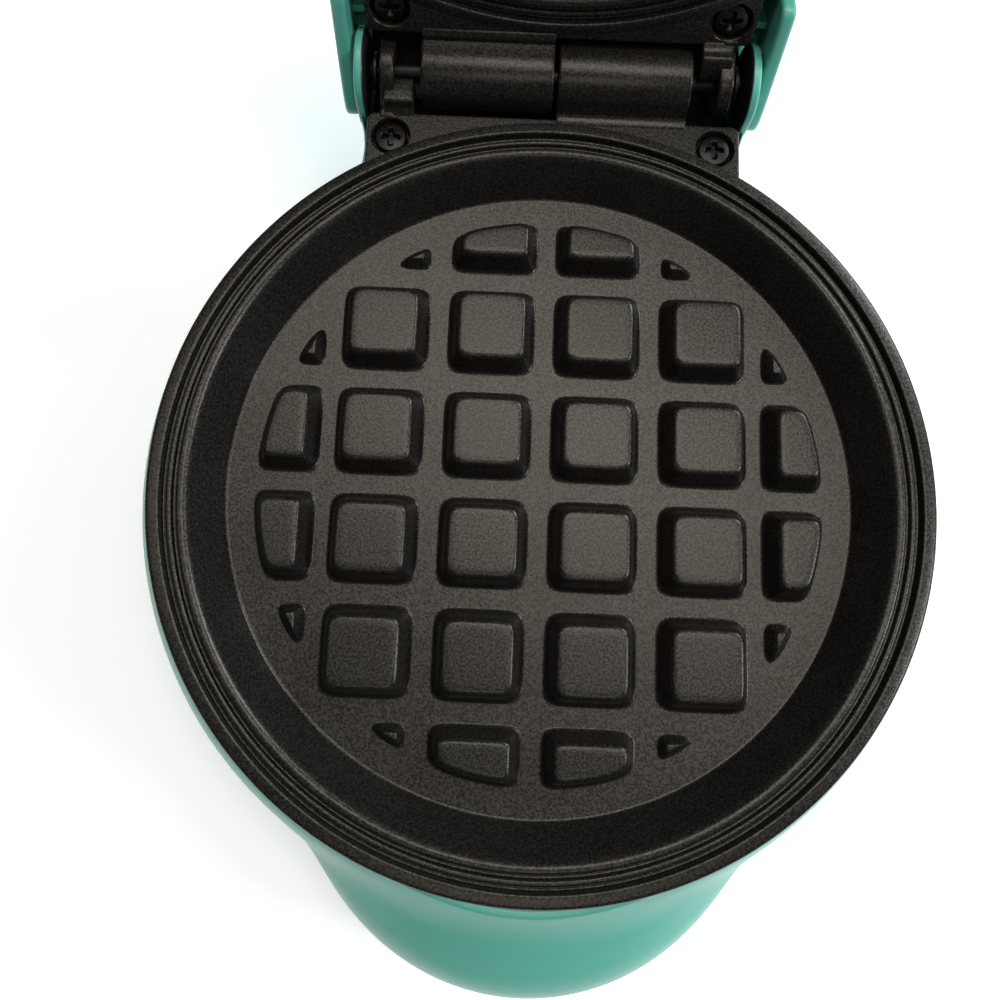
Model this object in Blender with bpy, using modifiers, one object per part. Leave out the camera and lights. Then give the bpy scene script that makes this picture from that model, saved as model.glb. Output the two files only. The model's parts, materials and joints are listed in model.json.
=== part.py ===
"""Mini waffle maker, standing open on its hinge stop.

Lengths are in metres, +Z is up, +X is right and +Y is the hinge side. Sizes of the plates and
shells are measured from the centre of the lower plate, at the plane where the closed rims meet.
The lid is modelled closed and swung open by its pivot empty. The whole model then hangs from one
empty, which puts the middle of its footprint on the counter.
"""
import math

import bmesh
import bpy
import numpy as np

# Fits and cuts
CLEARANCE = 0.0003
OVERRUN = 0.0020
MERGE_DISTANCE = 0.00005
WELD_DISTANCE = 0.000001
RIM_GAP = 0.0004
RUNNING_GAP = 0.0006

# Cast plate, seen in section from its edge in to its floor
PLATE_RADIUS = 0.0600
SLOT_INSET = 0.0026
SLOT_WIDTH = 0.0006
SLOT_DEPTH = 0.0015
RIDGE_INSET = 0.0007
RIDGE_WIDTH = 0.0005
RIDGE_DROP = 0.0003
GROOVE_INSET = 0.0008
GROOVE_DEPTH = 0.0010
LIP_INSET = 0.0021
LIP_WIDTH = 0.0013
PAN_DRAFT_WIDTH = 0.0041
PAN_DEPTH = 0.0075
PLATE_WALL = 0.0025
FLOOR_FILLET = 0.0006
FLANGE_THICKNESS = 0.0030
EDGE_ROUND = 0.0006
PLATE_SIDES = 40

# Studs that press the squares into the waffle
STUD_PITCH = 0.01725
STUD_FOOT = 0.0137
STUD_TOP = 0.0100
STUD_HEIGHT = 0.0048
STUD_FIELD_INSET = 0.0049
STUD_CORNER_SPREAD = math.radians(9)
STUD_LEAST_WIDTH = 0.0010
STUD_CORNER_SPARE = 0.0016

# Hinge tab, ears and barrels of the cast plate
TAB_HALF_WIDTH = 0.0304
TAB_OVERHANG = 0.0004
TAB_CORNER = 0.0012
TAB_DROP = 0.0002
TAB_INSET = 0.0018
HINGE_SETBACK = 0.0070
BARREL_RADIUS = 0.0056
BARREL_NEAR = 0.00035
BARREL_EAR_GAP = 0.0043
EAR_RADIUS = 0.0050
EAR_INSET = 0.0020
EAR_THICKNESS = 0.0024
EAR_FOOT_WIDTH = 0.0032
EAR_FOOT_DEPTH = 0.0022
EAR_FOOT_HEIGHT = 0.0020
WEB_SETBACK = 0.0005
BARREL_WEB_ANGLE = math.radians(165)
EAR_WEB_ANGLE = math.radians(140)
WEB_UNDER_ANGLE = math.radians(-125)
HINGE_SIDES = 16

# Hinge pin and its clips
PIN_RADIUS = 0.0015
PIN_END_PLAY = 0.0018
PIN_GROOVE_DEPTH = 0.0004
CLIP_RADIUS = 0.0030
CLIP_THICKNESS = 0.0006
CLIP_MOUTH = math.radians(70)
CLIP_POINTS = 14

# Screws that hold each plate to its shell
SCREW_SIDE_INSET = 0.0040
SCREW_REAR_INSET = 0.0041
SCREW_HEAD_RADIUS = 0.0027
SCREW_HEAD_HEIGHT = 0.0013
SCREW_SHANK_RADIUS = 0.0013
SCREW_END_ROOM = 0.0020
SHORT_SCREW_LENGTH = 0.0065
RECESS_DEPTH = 0.0018
BOSS_RADIUS = 0.0040
BOSS_ROOM = 0.0105
CROSS_WIDTH = 0.0006
CROSS_DEPTH = 0.0007

# Open angle of the lid, from closed
OPEN_ANGLE = math.radians(110)

# Both plastic shells
WALL = 0.0020
WALL_INSET_SHARE = 0.85
WALL_PROBE_SHARES = (-0.7, 0.0, 0.7)
SHELL_OVERHANG = 0.0035
LIP_OVERHANG = 0.0175
LIP_DISC_RADIUS = 0.0364
SHELL_RAYS = 48
CORNER_LENGTH = 0.0090
LEAST_SINE = 0.00001
LIP_BLEND = 24
NECK_BLEND = 48

# Base shell
BASE_ROOM = 0.0185
FOOT_STAND = 0.0023
NECK_SIDE_GAP = 0.0019
TROUGH_RADIUS = 0.0128
TROUGH_TOP_DROP = 0.0020
CHEEK_THICKNESS = 0.0016
CHEEK_RADIUS = 0.0066
BASE_WAIST_SHARE = 0.862
# Each row holds shares of the shell's height, SHELL_RADIUS, LIP_REACH and the neck's half width
BASE_SECTION_SHARES = [
    (0.00, 0.948, 0.000, 1.00), (0.05, 0.972, 0.800, 1.00), (0.13, 0.992, 0.858, 1.00),
    (0.20, 1.000, 0.916, 1.00), (0.28, 0.998, 0.968, 0.97), (0.38, 0.985, 0.997, 0.90),
    (0.48, 0.960, 1.000, 0.80), (0.59, 0.930, 0.974, 0.68), (0.69, 0.898, 0.903, 0.55),
    (0.78, 0.870, 0.774, 0.40), (0.87, BASE_WAIST_SHARE, 0.000, 0.30), (0.94, 0.885, 0.000, 0.20),
    (1.00, 0.915, 0.000, 0.10),
]

# Lid shell
LID_ROOM = 0.0095
LOBE_STEP_WIDTH = 0.0024
LID_NECK_INSET = 0.0032
COVER_OUTER_RADIUS = 0.0100
COVER_WALL = 0.0018
COVER_END_GAP = 0.0024
COVER_LOW_ANGLE = math.radians(-20)
COVER_HIGH_ANGLE = math.radians(125)
COVER_POINTS = 14
LOBE_RADIUS = 0.0085
LOBE_DROP = 0.0025
LOBE_TOP_ANGLE = math.radians(100)
LOBE_LENGTH = 0.0154
LOBE_TOP = 0.0098
LOBE_INSET = 0.00005
# Shares of the lid's height, SHELL_RADIUS, LIP_REACH, the neck's half width and its rear reach
LID_SECTION_SHARES = [
    (0.00, 0.948, 0.000, 1.00, 1.00), (0.06, 0.972, 0.800, 1.00, 1.00),
    (0.16, 0.992, 0.858, 1.00, 1.00), (0.25, 1.000, 0.916, 1.00, 1.00),
    (0.36, 0.995, 0.968, 0.97, 0.985), (0.49, 0.968, 0.993, 0.90, 0.950),
    (0.62, 0.913, 0.987, 0.80, 0.890), (0.73, 0.835, 0.942, 0.65, 0.790),
    (0.83, 0.732, 0.852, 0.50, 0.650), (0.905, 0.606, 0.710, 0.30, 0.500),
    (0.96, 0.441, 0.600, 0.20, 0.350), (0.99, 0.236, 0.000, 0.10, 0.150),
]

# Bottom cover, feet and cord outlet
COVER_THICKNESS = 0.0020
COVER_RECESS = 0.0003
FOOT_RADIUS = 0.0045
FOOT_PEG_RADIUS = 0.0020
FOOT_INSET = 0.0052
REAR_FOOT_ANGLE = math.radians(70)
FRONT_FOOT_ANGLE = math.radians(-51)
POST_RADIUS = 0.0035
POST_BITE = 0.0005
POST_EDGE_WIDTH = 0.0048
POST_LENGTH = 0.0075
POST_ANGLES = (math.radians(-90), math.radians(20), math.radians(160))
VENT_COUNT = 8
VENT_HALF_WIDTH = 0.0015
VENT_LENGTH = 0.0140
VENT_PLACE_RADIUS = 0.0250
OUTLET_HEIGHT = 0.0100
OUTLET_INSET = 0.0044
OUTLET_RADIUS = 0.0065
OUTLET_LENGTH = 0.0170
GLAND_BORE = 0.0029
GLAND_RADIUS = 0.0041
GLAND_FLANGE_RADIUS = 0.0058
GLAND_FLANGE = 0.0020
ROUND_SIDES = 16

# Heating parts under each plate
ELEMENT_TUBE_RADIUS = 0.0030
ELEMENT_INSET = 0.0157
ELEMENT_MOUTH = math.radians(30)
ELEMENT_BEND = 0.0040
ELEMENT_POINTS = 22
ELEMENT_POST_ROOM = 0.0105
HUB_RADIUS = 0.0045
CLAMP_OVERHANG = 0.0040
CLAMP_HALF_WIDTH = 0.0050
CLAMP_THICKNESS = 0.0012
SHIELD_DEPTH = 0.0215
SHIELD_THICKNESS = 0.0006
SHIELD_INSET = 0.0022
SHIELD_DRAFT_WIDTH = 0.0083
SHIELD_RIM_WIDTH = 0.0011
THERMOSTAT_GAP = 0.0035
THERMOSTAT_HEIGHT = 0.0068
THERMOSTAT_FLANGE_WIDTH = 0.0015
THERMOSTAT_FLANGE_THICKNESS = 0.0010
FUSE_RADIUS = 0.0022
FUSE_LENGTH = 0.0120
FUSE_INSET = 0.0030
BLOCK_SIZE = (0.0220, 0.0120, 0.0080)
BLOCK_SETBACK = 0.0160
LEAD_RADIUS = 0.0009
LEAD_STRAIGHT = 0.0010
LEAD_POINTS = 10

# Indicator light on top of the lid
LENS_BACK = 0.0240
LENS_RADIUS = 0.0040
LENS_PROUD = 0.0006
LENS_CROWN = 0.0008
LENS_FLANGE_RADIUS = 0.0054
LENS_FLANGE = 0.0010
LENS_DEPTH = 0.0042
LAMP_RADIUS = 0.0030

# Radii and places that follow from those above
SLOT_RADIUS = PLATE_RADIUS - SLOT_INSET
RIDGE_RADIUS = SLOT_RADIUS - RIDGE_INSET
GROOVE_RADIUS = RIDGE_RADIUS - GROOVE_INSET
LIP_INNER_RADIUS = GROOVE_RADIUS - LIP_INSET
FLOOR_RADIUS = LIP_INNER_RADIUS - PAN_DRAFT_WIDTH
STUD_FIELD_RADIUS = FLOOR_RADIUS - STUD_FIELD_INSET
TAB_REAR = PLATE_RADIUS + TAB_OVERHANG
TAB_INNER_RADIUS = PLATE_RADIUS - TAB_INSET
HINGE_BACK = TAB_REAR + HINGE_SETBACK
EAR_OUTER = TAB_HALF_WIDTH - EAR_INSET
EAR_INNER = EAR_OUTER - EAR_THICKNESS
EAR_FOOT_INNER = EAR_INNER - EAR_FOOT_WIDTH
BARREL_FAR = EAR_INNER - BARREL_EAR_GAP
SCREW_X = TAB_HALF_WIDTH - SCREW_SIDE_INSET
SCREW_Y = TAB_REAR - SCREW_REAR_INSET
SHELL_RADIUS = PLATE_RADIUS + SHELL_OVERHANG
LIP_REACH = PLATE_RADIUS + LIP_OVERHANG
LIP_CENTRE = LIP_REACH - LIP_DISC_RADIUS
BASE_NECK_HALF_WIDTH = TAB_HALF_WIDTH + NECK_SIDE_GAP
LID_NECK_HALF_WIDTH = BASE_NECK_HALF_WIDTH + LOBE_STEP_WIDTH
LID_NECK_REAR = HINGE_BACK - LID_NECK_INSET
COVER_HALF_LENGTH = BASE_NECK_HALF_WIDTH - COVER_END_GAP
LOBE_FRONT = HINGE_BACK - LOBE_LENGTH
POST_PLACE_RADIUS = BASE_WAIST_SHARE * SHELL_RADIUS - WALL_INSET_SHARE * WALL - POST_RADIUS + POST_BITE
COVER_RADIUS = POST_PLACE_RADIUS + POST_EDGE_WIDTH
FOOT_PLACE_RADIUS = COVER_RADIUS - FOOT_INSET
OUTLET_REAR = HINGE_BACK - OUTLET_INSET
ELEMENT_RING_RADIUS = FLOOR_RADIUS - ELEMENT_INSET
CLAMP_HALF_LENGTH = ELEMENT_RING_RADIUS + CLAMP_OVERHANG
SHIELD_RIM_RADIUS = PLATE_RADIUS - SHIELD_INSET
SHIELD_FLOOR_RADIUS = SHIELD_RIM_RADIUS - SHIELD_DRAFT_WIDTH
RING_INNER_RADIUS = ELEMENT_RING_RADIUS - ELEMENT_TUBE_RADIUS
THERMOSTAT_PLACE = -(RING_INNER_RADIUS + CLAMP_HALF_WIDTH) / 2
THERMOSTAT_FLANGE_RADIUS = (RING_INNER_RADIUS - CLAMP_HALF_WIDTH) / 2 - THERMOSTAT_GAP
THERMOSTAT_RADIUS = THERMOSTAT_FLANGE_RADIUS - THERMOSTAT_FLANGE_WIDTH
FUSE_PLACE = -THERMOSTAT_PLACE - FUSE_INSET
BLOCK_PLACE = ELEMENT_RING_RADIUS - BLOCK_SETBACK
LENS_PLACE = LENS_BACK - PLATE_RADIUS
BOSS_LENGTH = SHIELD_DEPTH - BOSS_ROOM
SCREW_LENGTH = BOSS_LENGTH - SCREW_END_ROOM
ELEMENT_POST_LENGTH = SHIELD_DEPTH - ELEMENT_POST_ROOM
LID_HEIGHT = SHIELD_DEPTH + LID_ROOM
COUNTER_DROP = SHIELD_DEPTH + BASE_ROOM

# Heights that follow, from the plane where the closed rims meet
RIM_TOP = -RIM_GAP / 2
TAB_TOP = RIM_TOP - TAB_DROP
FLOOR_Z = RIM_TOP - PAN_DEPTH
UNDERSIDE_Z = FLOOR_Z - PLATE_WALL
FLANGE_UNDER_Z = TAB_TOP - FLANGE_THICKNESS
SHELL_EDGE_Z = FLANGE_UNDER_Z - CLEARANCE
SHELL_FOOT_Z = FOOT_STAND - COUNTER_DROP
PLATE_WALL_RUN = PLATE_WALL * (PAN_DEPTH + PLATE_WALL) / PAN_DEPTH
COVER_Z = SHELL_FOOT_Z + COVER_RECESS
COVER_INNER_Z = COVER_Z + COVER_THICKNESS
BORE_RADIUS = PIN_RADIUS + CLEARANCE
RECESS_RADIUS = SCREW_HEAD_RADIUS + CLEARANCE
SHANK_HOLE_RADIUS = SCREW_SHANK_RADIUS + CLEARANCE
RECESS_Z = TAB_TOP - RECESS_DEPTH
ELEMENT_Z = UNDERSIDE_Z - CLEARANCE - ELEMENT_TUBE_RADIUS
CLAMP_TOP_Z = ELEMENT_Z - ELEMENT_TUBE_RADIUS - CLEARANCE
SHIELD_Z = -SHIELD_DEPTH
OUTLET_Z = OUTLET_HEIGHT - COUNTER_DROP


# Scene and mesh helpers

def clear_scene():
    """Remove what the start-up file holds."""
    for obj in list(bpy.data.objects):
        bpy.data.objects.remove(obj, do_unlink=True)


def new_collection(name):
    collection = bpy.data.collections.new(name)
    bpy.context.scene.collection.children.link(collection)
    return collection


def finish_material(name, colour, roughness, metallic=0.0):
    """A plain Principled finish."""
    material = bpy.data.materials.new(name)
    material.use_nodes = True
    shader = material.node_tree.nodes["Principled BSDF"]
    shader.inputs["Base Color"].default_value = (*colour, 1.0)
    shader.inputs["Roughness"].default_value = roughness
    shader.inputs["Metallic"].default_value = metallic
    return material


def add_object(name, mesh, material=None, cutter=False):
    """Link a mesh or curve as a part, or as a hidden cutter."""
    obj = bpy.data.objects.new(name, mesh)
    (CUTTERS if cutter else PARTS).objects.link(obj)
    if cutter:
        obj.hide_render = True
        obj.display_type = "WIRE"
    elif material is not None:
        mesh.materials.append(material)
    return obj


def mesh_of(bm, name):
    """Close a bmesh into a mesh whose faces point out."""
    bm.normal_update()
    bmesh.ops.recalc_face_normals(bm, faces=bm.faces)
    mesh = bpy.data.meshes.new(name)
    bm.to_mesh(mesh)
    bm.free()
    return mesh


def block(name, low, high, material=None, cutter=False):
    """A box between two corners."""
    bm = bmesh.new()
    bmesh.ops.create_cube(bm, size=1)
    size = np.subtract(high, low)
    middle = np.add(low, high) / 2
    for vert in bm.verts:
        vert.co = middle + size * np.array(vert.co)
    return add_object(name, mesh_of(bm, name), material, cutter)


def rod(name, radius, start, end, axis, place, material=None, cutter=False, sides=ROUND_SIDES):
    """A cylinder along x, y or z from start to end, with its axis through place."""
    bm = bmesh.new()
    bmesh.ops.create_cone(
        bm, cap_ends=True, segments=sides, radius1=radius, radius2=radius, depth=end - start
    )
    along = "xyz".index(axis)
    order = {"x": (2, 0, 1), "y": (1, 2, 0), "z": (0, 1, 2)}[axis]
    middle = np.array(place, dtype=float)
    middle[along] = (start + end) / 2
    for vert in bm.verts:
        co = np.array(vert.co)
        vert.co = middle + co[list(order)]
    return add_object(name, mesh_of(bm, name), material, cutter)


def plate_of(name, outline, start, end, material=None, cutter=False):
    """An outline of (y, z) points, extruded along x from start to end."""
    bm = bmesh.new()
    near = [bm.verts.new((start, y, z)) for y, z in outline]
    bottom = bm.faces.new(near)
    moved = bmesh.ops.extrude_face_region(bm, geom=[bottom])["geom"]
    far = [item for item in moved if isinstance(item, bmesh.types.BMVert)]
    bmesh.ops.translate(bm, verts=far, vec=(end - start, 0, 0))
    return add_object(name, mesh_of(bm, name), material, cutter)


def turned(name, profile, material=None, cutter=False, sides=ROUND_SIDES, place=(0, 0, 0)):
    """A profile of (radius, z) points turned about z; the first and last are on the axis or meet."""
    mesh = bpy.data.meshes.new(name)
    points = [(r, 0, z) for r, z in profile]
    edges = [(i, i + 1) for i in range(len(points) - 1)]
    if profile[0][0] > 0:
        edges.append((len(points) - 1, 0))
    mesh.from_pydata(points, edges, [])
    obj = add_object(name, mesh, material, cutter)
    obj.location = place
    screw = obj.modifiers.new("turn", "SCREW")
    screw.axis = "Z"
    screw.steps = screw.render_steps = sides
    screw.use_merge_vertices = True
    screw.merge_threshold = MERGE_DISTANCE
    return settled(obj)


def combine(obj, other, operation):
    """Join, cut or intersect with another object."""
    change = obj.modifiers.new(f"{operation} {other.name}", "BOOLEAN")
    change.operation = operation
    change.solver = "EXACT"
    change.object = other


def settled(obj):
    """Apply the modifiers, weld caps, and keep one plain mesh with its faces out."""
    bpy.context.view_layer.update()
    graph = bpy.context.evaluated_depsgraph_get()
    mesh = bpy.data.meshes.new_from_object(obj.evaluated_get(graph))
    mesh.name = obj.name
    bm = bmesh.new()
    bm.from_mesh(mesh)
    bmesh.ops.remove_doubles(bm, verts=bm.verts, dist=WELD_DISTANCE)
    bmesh.ops.recalc_face_normals(bm, faces=bm.faces)
    bm.to_mesh(mesh)
    bm.free()
    obj.modifiers.clear()
    obj.data = mesh
    return obj


def smooth(obj, angle=math.radians(35)):
    """Round faces shade smooth and keep their real edges."""
    obj.data.shade_smooth()
    obj.data.set_sharp_from_angle(angle=angle)
    return obj


def arc(centre, radius, start, end, count):
    """Points (y, z) along an arc; the angle is 0 towards the rear and 90 degrees upwards."""
    angles = np.linspace(start, end, count)
    return [
        (centre[0] + radius * math.cos(a), centre[1] + radius * math.sin(a)) for a in angles
    ]


def tube(name, points, radius, material, cyclic=False):
    """A round tube along points, with welded caps."""
    curve = bpy.data.curves.new(name, "CURVE")
    curve.dimensions = "3D"
    curve.bevel_depth = radius
    curve.bevel_resolution = 2
    curve.use_fill_caps = True
    spline = curve.splines.new("POLY")
    spline.points.add(len(points) - 1)
    for point, co in zip(spline.points, points):
        point.co = (*co, 1.0)
    spline.use_cyclic_u = cyclic
    guide = bpy.data.objects.new(name + " path", curve)
    CUTTERS.objects.link(guide)
    bpy.context.view_layer.update()
    graph = bpy.context.evaluated_depsgraph_get()
    mesh = bpy.data.meshes.new_from_object(guide.evaluated_get(graph))
    bpy.data.objects.remove(guide, do_unlink=True)
    mesh.name = name
    mesh.materials.clear()
    obj = add_object(name, mesh, material)
    return smooth(settled(obj))


def mirrored_pair(values):
    """Left and right places of something that sits at the same distance on both sides."""
    return [(-values[0], values[1]), (values[0], values[1])]


# Cast plate

def plate_section():
    """The plate's turned section: pan, lip, groove, ridge, slot, rim flange and underside."""
    lip_top = LIP_INNER_RADIUS + EDGE_ROUND
    ridge_half = RIDGE_WIDTH / 2
    slot_half = SLOT_WIDTH / 2
    outer_top = TAB_TOP - TAB_DROP / 2
    flange_under = FLANGE_UNDER_Z + TAB_DROP / 2
    return [
        (0, FLOOR_Z), (FLOOR_RADIUS - FLOOR_FILLET, FLOOR_Z),
        (FLOOR_RADIUS + FLOOR_FILLET, FLOOR_Z + FLOOR_FILLET),
        (LIP_INNER_RADIUS, RIM_TOP - EDGE_ROUND), (lip_top, RIM_TOP),
        (lip_top + LIP_WIDTH - EDGE_ROUND, RIM_TOP),
        (GROOVE_RADIUS - ridge_half, RIM_TOP - GROOVE_DEPTH),
        (GROOVE_RADIUS + ridge_half, RIM_TOP - GROOVE_DEPTH),
        (RIDGE_RADIUS - ridge_half, RIM_TOP - RIDGE_DROP),
        (RIDGE_RADIUS + ridge_half, RIM_TOP - RIDGE_DROP),
        (SLOT_RADIUS - slot_half, RIM_TOP - SLOT_DEPTH),
        (SLOT_RADIUS + slot_half, RIM_TOP - SLOT_DEPTH),
        (SLOT_RADIUS + SLOT_WIDTH, outer_top), (PLATE_RADIUS - EDGE_ROUND, outer_top),
        (PLATE_RADIUS, outer_top - EDGE_ROUND), (PLATE_RADIUS, flange_under),
        (LIP_INNER_RADIUS + PLATE_WALL, flange_under),
        (FLOOR_RADIUS + PLATE_WALL, UNDERSIDE_Z), (0, UNDERSIDE_Z),
    ]


def field_cells():
    """Middle of every stud's cell, and how far inside the round field its near corner lies."""
    rows = 2 * math.ceil(STUD_FIELD_RADIUS / STUD_PITCH)
    places = (np.arange(rows) - (rows - 1) / 2) * STUD_PITCH
    for y in places:
        for x in places:
            near = np.maximum(np.abs([x, y]) - STUD_FOOT / 2, 0)
            far = np.abs([x, y]) + STUD_FOOT / 2
            if np.hypot(*near) + STUD_LEAST_WIDTH < STUD_FIELD_RADIUS:
                yield np.array([x, y]), np.hypot(*far) < STUD_FIELD_RADIUS + STUD_CORNER_SPARE


def cell_region(middle, steps=41):
    """Sample points of a cell inside the round field, with their depth from its edges."""
    side = np.linspace(-STUD_FOOT / 2, STUD_FOOT / 2, steps)
    grid = np.stack(np.meshgrid(side, side), axis=-1).reshape(-1, 2)
    depth = STUD_FOOT / 2 - np.abs(grid).max(axis=1)
    field = STUD_FIELD_RADIUS - np.hypot(*(grid + middle).T)
    depth = np.minimum(depth, field)
    inside = depth >= 0
    return grid[inside] + middle, depth[inside]


def stud_ring(middle, centre, angles, inset):
    """Where rays from a stud's centre meet its cell and the field circle, both moved in."""
    direction = np.stack([np.cos(angles), np.sin(angles)], axis=1)
    half = STUD_FOOT / 2 - inset
    room = half - np.sign(direction) * (centre - middle)
    walls = (room / np.maximum(np.abs(direction), LEAST_SINE)).min(axis=1)
    radius = STUD_FIELD_RADIUS - inset
    along = direction @ centre
    field = -along + np.sqrt(np.maximum(along ** 2 + radius ** 2 - centre @ centre, 0))
    return centre + direction * np.minimum(walls, field)[:, None]


def stud_field():
    """All studs as separate drafted bodies whose feet reach into the pan's floor."""
    bm = bmesh.new()
    draft = (STUD_FOOT - STUD_TOP) / 2
    for middle, whole in field_cells():
        points, depth = cell_region(middle)
        centre = middle if whole else points[depth > depth.max() / 2].mean(axis=0)
        if whole:
            quarter = math.pi / 4 + np.arange(4) * math.pi / 2
            spread = np.array([-STUD_CORNER_SPREAD, 0, STUD_CORNER_SPREAD])
            angles = (quarter[:, None] + spread).ravel()
        else:
            angles = np.arange(0, 2 * math.pi, math.pi / 6)
        share = min(1.0, 0.85 * depth.max() / draft)
        rings = []
        for inset, z in ((0, FLOOR_Z - PLATE_WALL / 2), (0, FLOOR_Z),
                         (draft * share, FLOOR_Z + STUD_HEIGHT * share)):
            ring = stud_ring(middle, centre, angles, inset)
            if whole:
                ring[1::3] = (ring[0::3] + ring[2::3]) / 2 * 0.35 + ring[1::3] * 0.65
            rings.append([bm.verts.new((x, y, z)) for x, y in ring])
        bm.faces.new(rings[0])
        bm.faces.new(rings[-1])
        count = len(angles)
        for lower, upper in zip(rings, rings[1:]):
            for i in range(count):
                j = (i + 1) % count
                bm.faces.new([lower[i], lower[j], upper[j], upper[i]])
    return add_object("stud cutter", mesh_of(bm, "stud field"), cutter=True)


def leg_outline(radius, web_angle):
    """Side view of an ear or a barrel with the web that joins it to the tab."""
    root = TAB_REAR - 2 * WEB_SETBACK
    under = FLANGE_UNDER_Z + TAB_DROP / 4
    points = [(root, under), (root, TAB_TOP - TAB_DROP / 4), (TAB_REAR + WEB_SETBACK, TAB_TOP)]
    return points + arc((HINGE_BACK, 0), radius, web_angle, WEB_UNDER_ANGLE, HINGE_SIDES)


def tab_outline():
    """Plan of the hinge tab, with rounded rear corners."""
    corner = (TAB_HALF_WIDTH - TAB_CORNER, TAB_REAR - TAB_CORNER)
    right = arc(corner, TAB_CORNER, 0, math.pi / 2, 5)
    left = [(-x, y) for x, y in reversed(right)]
    front = TAB_REAR / 2
    return [(TAB_HALF_WIDTH, front)] + right + left + [(-TAB_HALF_WIDTH, front)]


def cast_plate(name, material):
    """The lower casting: pan, studs, tab with screw recesses, one barrel and one ear."""
    plate = turned(name, plate_section(), material, sides=PLATE_SIDES)

    bm = bmesh.new()
    face = bm.faces.new([bm.verts.new((x, y, FLANGE_UNDER_Z)) for x, y in tab_outline()])
    moved = bmesh.ops.extrude_face_region(bm, geom=[face])["geom"]
    top = [item for item in moved if isinstance(item, bmesh.types.BMVert)]
    bmesh.ops.translate(bm, verts=top, vec=(0, 0, FLANGE_THICKNESS))
    tab = add_object("tab", mesh_of(bm, "tab"), cutter=True)
    pan = rod("tab front", TAB_INNER_RADIUS, FLANGE_UNDER_Z - OVERRUN, TAB_TOP + OVERRUN,
              "z", (0, 0, 0), cutter=True, sides=PLATE_SIDES)
    combine(tab, pan, "DIFFERENCE")
    combine(plate, settled(tab), "UNION")

    combine(plate, stud_field(), "UNION")
    barrel = plate_of("barrel", leg_outline(BARREL_RADIUS, BARREL_WEB_ANGLE),
                      BARREL_NEAR, BARREL_FAR, cutter=True)
    ear = plate_of("ear", leg_outline(EAR_RADIUS, EAR_WEB_ANGLE), -EAR_OUTER, -EAR_INNER, cutter=True)
    foot_rear = TAB_REAR + EAR_FOOT_DEPTH
    under = FLANGE_UNDER_Z + TAB_DROP / 2
    foot = plate_of("ear foot", [
        (TAB_REAR - WEB_SETBACK, under), (TAB_REAR - WEB_SETBACK, TAB_TOP - TAB_DROP / 2),
        (TAB_REAR + WEB_SETBACK, TAB_TOP), (TAB_REAR + 2 * WEB_SETBACK, EAR_FOOT_HEIGHT),
        (foot_rear, EAR_FOOT_HEIGHT), (foot_rear, under),
    ], -(EAR_INNER + EAR_OUTER) / 2, -EAR_FOOT_INNER, cutter=True)
    hub = rod("hub", HUB_RADIUS, CLAMP_TOP_Z + CLEARANCE, UNDERSIDE_Z + PLATE_WALL / 2,
              "z", (0, 0, 0), cutter=True)
    for addition in (barrel, ear, foot, hub):
        combine(plate, addition, "UNION")

    bore = rod("pin bore", BORE_RADIUS, -TAB_HALF_WIDTH, TAB_HALF_WIDTH, "x",
               (0, HINGE_BACK, 0), cutter=True)
    combine(plate, bore, "DIFFERENCE")
    for side, (x, y) in zip("lr", mirrored_pair((SCREW_X, SCREW_Y))):
        recess = rod("recess " + side, RECESS_RADIUS, RECESS_Z, TAB_TOP + OVERRUN, "z",
                     (x, y, 0), cutter=True)
        hole = rod("hole " + side, SHANK_HOLE_RADIUS, FLANGE_UNDER_Z - OVERRUN, RECESS_Z + OVERRUN,
                   "z", (x, y, 0), cutter=True)
        combine(plate, recess, "DIFFERENCE")
        combine(plate, hole, "DIFFERENCE")
    screw_hole = rod("hub hole", SHANK_HOLE_RADIUS, CLAMP_TOP_Z - OVERRUN, UNDERSIDE_Z,
                     "z", (0, 0, 0), cutter=True)
    combine(plate, screw_hole, "DIFFERENCE")
    return smooth(settled(plate))


# Plastic shells

def outline_radius(angles, bulge, lip_reach, neck_half, neck_rear):
    """Distance from the centre to a shell's plan outline: circle, front lip and rear neck."""
    cos, sin = np.cos(angles), np.sin(angles)
    radius = np.full_like(angles, bulge)
    rear = np.maximum(sin, LEAST_SINE)
    neck = (np.abs(cos) / neck_half) ** NECK_BLEND + (rear / neck_rear) ** NECK_BLEND
    neck = np.where(sin > 0, neck ** (-1 / NECK_BLEND), 0)
    radius = (radius ** NECK_BLEND + neck ** NECK_BLEND) ** (1 / NECK_BLEND)
    disc = max(lip_reach - LIP_CENTRE, 0)
    towards = -sin * LIP_CENTRE
    room = towards ** 2 - LIP_CENTRE ** 2 + disc ** 2
    lip = np.where((room > 0) & (towards > 0), towards + np.sqrt(np.maximum(room, 0)), 0)
    return (radius ** LIP_BLEND + lip ** LIP_BLEND) ** (1 / LIP_BLEND)


def shell_angles(section):
    """Rays that crowd where the outline turns, alike on the left and right."""
    fine = np.linspace(-math.pi / 2, 3 * math.pi / 2, 1441)
    radius = outline_radius(fine, *section)
    points = np.stack([radius * np.cos(fine), radius * np.sin(fine)], axis=1)
    step = np.diff(points, axis=0)
    length = np.hypot(step[:, 0], step[:, 1])
    heading = np.unwrap(np.arctan2(step[:, 1], step[:, 0]))
    turn = np.abs(np.gradient(heading))
    total = np.concatenate([[0], np.cumsum(length + CORNER_LENGTH * turn)])
    return np.interp(np.arange(SHELL_RAYS) / SHELL_RAYS * total[-1], total, fine)


def inner_radii(heights, outer, inner_heights):
    """The outer skin moved in by the wall: along each ray, the least radius near that height."""
    inner = np.empty((len(inner_heights), outer.shape[1]))
    for ray in range(outer.shape[1]):
        near = [
            np.interp(inner_heights + step * WALL, heights, outer[:, ray])
            for step in WALL_PROBE_SHARES
        ]
        inner[:, ray] = np.min(near, axis=0) - WALL_INSET_SHARE * WALL
    return inner


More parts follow.
